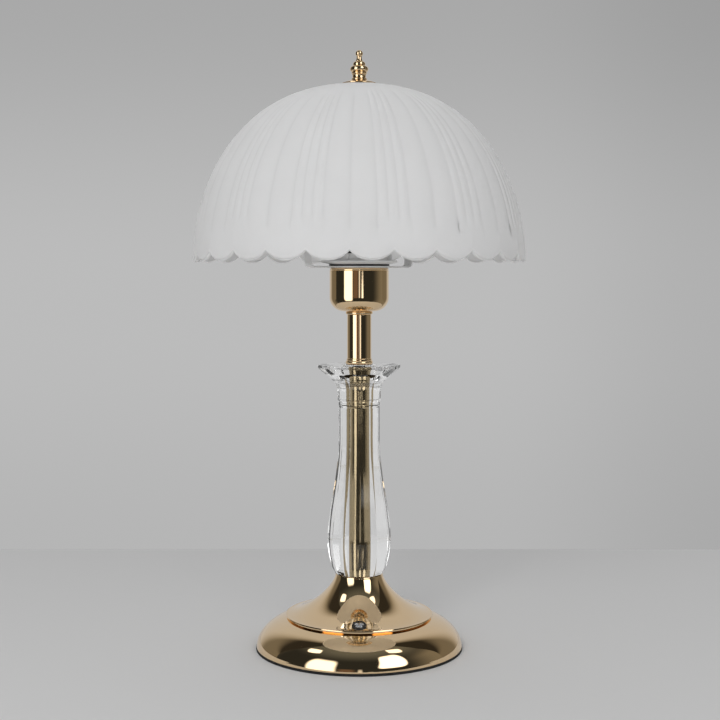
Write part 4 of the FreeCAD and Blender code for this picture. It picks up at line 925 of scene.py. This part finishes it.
floor = dict(size=8.0, tone=(0.775,) * 3, shown=(0.40, 0.48, 0.0, 1.0), ahead=(0.2, 0.3, 0.0, 1.0),
             aheadWidth=(0.20, 0.30, 0.0, 1.0), glow=(0.02, 0.12, 0.04, 0.22))
backdrop = dict(away=0.36, width=4.0, height=2.4, rising=(0.0, 0.22, 0.465, 0.50),
                dimming=(0.28, 0.58, 0.0, -0.105), toRight=(0.12, 0.38, 1.0, 0.87), shown=0.53,
                aside=(0.26, 0.52, 0.0, 1.0), far=(0.35, 0.8, 0.18, 0.03), glow=(0.02, 0.12, 0.04, 0.22))
softLamps = dict(
    leftLamp=dict(place=(-0.42, -1.38, 0.88), size=(0.6, 1.0), power=7.7),
    rightLamp=dict(place=(0.50, -1.35, 0.93), size=(0.6, 1.0), power=2.2))
lampAim = (0.0, 0.0, 0.22)
room = dict(plainTone=(0.385,) * 3, fromBehind=(0.1, 0.8, 1.0, 2.0), farTone=(0.475,) * 3,
            front=(40.0, 80.0, 0.028, 0.15), frontTone=(0.94, 1.0, 0.95), right=(52.0, 98.0, 0.0, 0.18),
            left=(-95.0, -130.0, 0.0, 0.20), sideRise=(30.0, 52.0, 1.0, 0.2), sideTone=(1.0, 0.92, 0.75),
            glassAside=(60.0, 110.0, 0.04, 0.34), glassRise=(6.0, 20.0, 0.0, 0.4))
# a light's azimuth from the front, elevation, half width and half height in degrees, then its outline
lightInputs = ("Aim", "Rise", "HalfWidth", "HalfHeight", "Lean", "Shape", "Edge")
roomLights = [{"outline": (-43.0, 8.0, 16.5, 33.0, 0.0, 5.0, 0.16), "strength": 2.0},
              {"outline": (41.5, 33.5, 17.0, 25.5, 0.2, 5.0, 0.1), "strength": 2.3},
              {"outline": (-86.0, 58.5, 14.0, 6.5, 0.0, 1.3, 0.15), "strength": 1.9},
              {"outline": (80.0, 65.5, 15.0, 7.0, 0.0, 1.3, 0.15), "strength": 1.9},
              {"outline": (12.5, -3.0, 3.5, 3.0, 0.0, 4.0, 0.2), "strength": 1.6},
              {"outline": (1.0, 0.0, 2.4, 5.0, 0.0, 3.0, 0.5), "strength": 0.9}]
copperStrip = dict(outline=(-14.0, 0.0, 9.0, 6.0, 0.0, 3.0, 0.4), tone=(0.13, 0.075, 0.045))


def makeLightGroup():
    # how much of a softbox lies in a direction; its outline goes from a diamond to a rectangle with Shape
    labels = ("Azimuth", "Elevation", *lightInputs)
    group, at, given = newGroup("softBox", dict.fromkeys(labels, 0.0), "Amount")
    calc = partial(mathNode, group)
    up = calc("SUBTRACT", at["Elevation"], at["Rise"])
    across = calc("SUBTRACT", calc("SUBTRACT", at["Azimuth"], at["Aim"]), calc("MULTIPLY", up, at["Lean"]))
    shares = [calc("DIVIDE", calc("ABSOLUTE", way), at[half])
              for way, half in ((across, "HalfWidth"), (up, "HalfHeight"))]
    total = calc("ADD", *(calc("POWER", share, at["Shape"]) for share in shares))
    far = calc("POWER", total, calc("DIVIDE", 1.0, at["Shape"]))
    ends = [calc(way, 1.0, at["Edge"]) for way in ("SUBTRACT", "ADD")]
    group.links.new(slope(group, far, *ends, 1.0, 0.0), given["Amount"])
    return group


def addShaders(tree, a, b):
    return addNode(tree, "AddShader", {0: a, 1: b}).outputs["Shader"]


def mixShaders(tree, share, a, b):
    return addNode(tree, "MixShader", {"Fac": share, 1: a, 2: b}).outputs["Shader"]


def clearShader(tree):
    return addNode(tree, "BsdfTransparent").outputs["BSDF"]


def lightShader(tree, kind, level, tone=(1, 1, 1, 1)):
    # kind is Emission on a plane and Background in the world
    return addNode(tree, kind, {"Color": tone, "Strength": level}).outputs[0]


def floorShader(tree):
    # a table top: beyond its edge gloss looks past it into the room, and so does glass that looks ahead
    calc = partial(mathNode, tree)
    rays = addNode(tree, "LightPath").outputs
    parts = placeParts(tree)
    place = addNode(tree, "TexCoord").outputs["Object"]
    reach = addNode(tree, "VectorMath", {0: place}, operation="LENGTH").outputs["Value"]
    aside = calc("ABSOLUTE", parts["X"])
    ahead = calc("MULTIPLY", parts["Y"], calc("SUBTRACT", slope(tree, aside, *floor["aheadWidth"]), 1.0))
    past = [calc("MULTIPLY", slope(tree, reach, *floor["shown"]), rays["Is Glossy Ray"]),
            calc("MULTIPLY", slope(tree, ahead, *floor["ahead"]), rays["Is Transmission Ray"])]
    glow = calc("MULTIPLY", slope(tree, aside, *floor["glow"]), rays["Is Transmission Ray"])
    diffuse = addNode(tree, "BsdfDiffuse", {"Color": (*floor["tone"], 1)}).outputs["BSDF"]
    lifted = addShaders(tree, diffuse, lightShader(tree, "Emission", glow))
    return mixShaders(tree, calc("ADD", *past), lifted, clearShader(tree))


def backdropShader(tree):
    # seen from the front only; the camera sees it dim upwards and to the right, gloss to both sides
    calc = partial(mathNode, tree)
    rays = addNode(tree, "LightPath").outputs
    parts = placeParts(tree)
    across, up = parts["X"], parts["Z"]
    level = calc("ADD", slope(tree, up, *backdrop["rising"]), slope(tree, up, *backdrop["dimming"]))
    level = calc("MULTIPLY", level, slope(tree, across, *backdrop["toRight"]))
    aside = calc("ABSOLUTE", across)
    glow = calc("MULTIPLY", slope(tree, aside, *backdrop["glow"]), rays["Is Transmission Ray"])
    level = calc("ADD", level, glow)
    side = slope(tree, aside, *backdrop["aside"])
    shown = calc("ADD", calc("MULTIPLY", side, slope(tree, up, *backdrop["far"])),
                 calc("MULTIPLY", calc("SUBTRACT", 1.0, side), backdrop["shown"]))
    tone = mixTones(tree, side, (1, 1, 1, 1), (*room["sideTone"], 1))
    straight = calc("MAXIMUM", rays["Is Camera Ray"], rays["Is Transmission Ray"])
    facing = mixShaders(tree, straight, lightShader(tree, "Emission", shown, tone),
                        lightShader(tree, "Emission", level))
    behind = addNode(tree, "NewGeometry").outputs["Backfacing"]
    return mixShaders(tree, behind, facing, clearShader(tree))


def emptyTree(owner):
    owner.use_nodes = True
    owner.node_tree.nodes.clear()
    return owner.node_tree


def stagePlane(name, materialName, makeShader, corners):
    material = bpy.data.materials.new(materialName)
    tree = emptyTree(material)
    addNode(tree, "OutputMaterial", {"Surface": makeShader(tree)})
    bm = bmesh.new()
    bm.faces.new([bm.verts.new(corner) for corner in corners])
    plane = meshObject(bm, name, material)
    return plane


def makeFloor():
    half = floor["size"] / 2
    corners = [(-half, -half, 0), (half, -half, 0), (half, half, 0), (-half, half, 0)]
    stagePlane("floor", "paleFloor", floorShader, corners)


def makeBackdrop():
    half, away, high = backdrop["width"] / 2, backdrop["away"], backdrop["height"]
    corners = [(-half, away, 0), (half, away, 0), (half, away, high), (-half, away, high)]
    wall = stagePlane("wall", "paleWall", backdropShader, corners)
    wall.visible_shadow = False
    wall.visible_diffuse = False


def roomShader(tree, way, throughGlass):
    # the level in each direction, from the azimuth and elevation of the ray
    calc = partial(mathNode, tree)
    azimuth = calc("DEGREES", calc("ARCTAN2", way["X"], calc("MULTIPLY", way["Y"], -1.0)))
    elevation = calc("DEGREES", calc("ARCSINE", way["Z"]))
    front = slope(tree, elevation, *room["front"])
    beside = calc("ADD", slope(tree, azimuth, *room["right"]), slope(tree, azimuth, *room["left"]))
    beside = calc("MULTIPLY", beside, slope(tree, elevation, *room["sideRise"]))
    inGlass = calc("ADD", slope(tree, calc("ABSOLUTE", azimuth), *room["glassAside"]),
                   slope(tree, elevation, *room["glassRise"]))
    lights = calc("MULTIPLY", inGlass, throughGlass)
    lightGroup = makeLightGroup()

    def amount(light):
        inputs = {"Azimuth": azimuth, "Elevation": elevation, **dict(zip(lightInputs, light["outline"]))}
        return addNode(tree, "Group", inputs, node_tree=lightGroup).outputs["Amount"]

    for light in roomLights:
        lights = calc("ADD", lights, calc("MULTIPLY", amount(light), light["strength"]))
    shone = ((front, room["frontTone"]), (beside, room["sideTone"]), (lights, (1, 1, 1)),
             (amount(copperStrip), copperStrip["tone"]))
    return reduce(partial(addShaders, tree), [lightShader(tree, "Background", level, (*tone, 1))
                                              for level, tone in shone])


def makeWorld():
    world = bpy.data.worlds.new("plainRoom")
    bpy.context.scene.world = world
    tree = emptyTree(world)
    rays = addNode(tree, "LightPath").outputs
    way = placeParts(tree, "Generated")
    mirrored = mathNode(tree, "MAXIMUM", rays["Is Glossy Ray"], rays["Is Transmission Ray"])
    behind = slope(tree, way["Y"], *room["fromBehind"])
    soft = lightShader(tree, "Background", behind, (*room["plainTone"], 1))
    shown = lightShader(tree, "Background", 1.0, (*room["farTone"], 1))
    lit = mixShaders(tree, mirrored, soft, roomShader(tree, way, rays["Is Transmission Ray"]))
    addNode(tree, "OutputWorld", {"Surface": mixShaders(tree, rays["Is Camera Ray"], lit, shown)})


def makeLamps():
    for name, values in softLamps.items():
        light = bpy.data.lights.new(name, "AREA")
        light.shape = "RECTANGLE"
        light.size, light.size_y = values["size"]
        light.energy = values["power"]
        lamp = newObject(name, light)
        lamp.location = values["place"]
        lamp.rotation_euler = (Vector(lampAim) - Vector(values["place"])).to_track_quat("-Z", "Y").to_euler()
        lamp.visible_glossy = False
        lamp.visible_transmission = False


makeFloor()
makeBackdrop()
makeWorld()
makeLamps()


# Camera at the photograph's place

view = dict(lens=67.5, sensor=36.0, place=(0.0006, -1.0175, 0.280), drop=85.2 / 720)
camera = bpy.data.cameras.new("camera")
camera.lens = view["lens"]
camera.sensor_width = view["sensor"]
camera.shift_y = -view["drop"]
cameraObject = newObject("camera", camera)
cameraObject.location = view["place"]
cameraObject.rotation_euler = (math.pi / 2, 0, 0)
bpy.context.scene.camera = cameraObject
bpy.context.scene.view_settings.view_transform = "Standard"
print("stage and camera made")
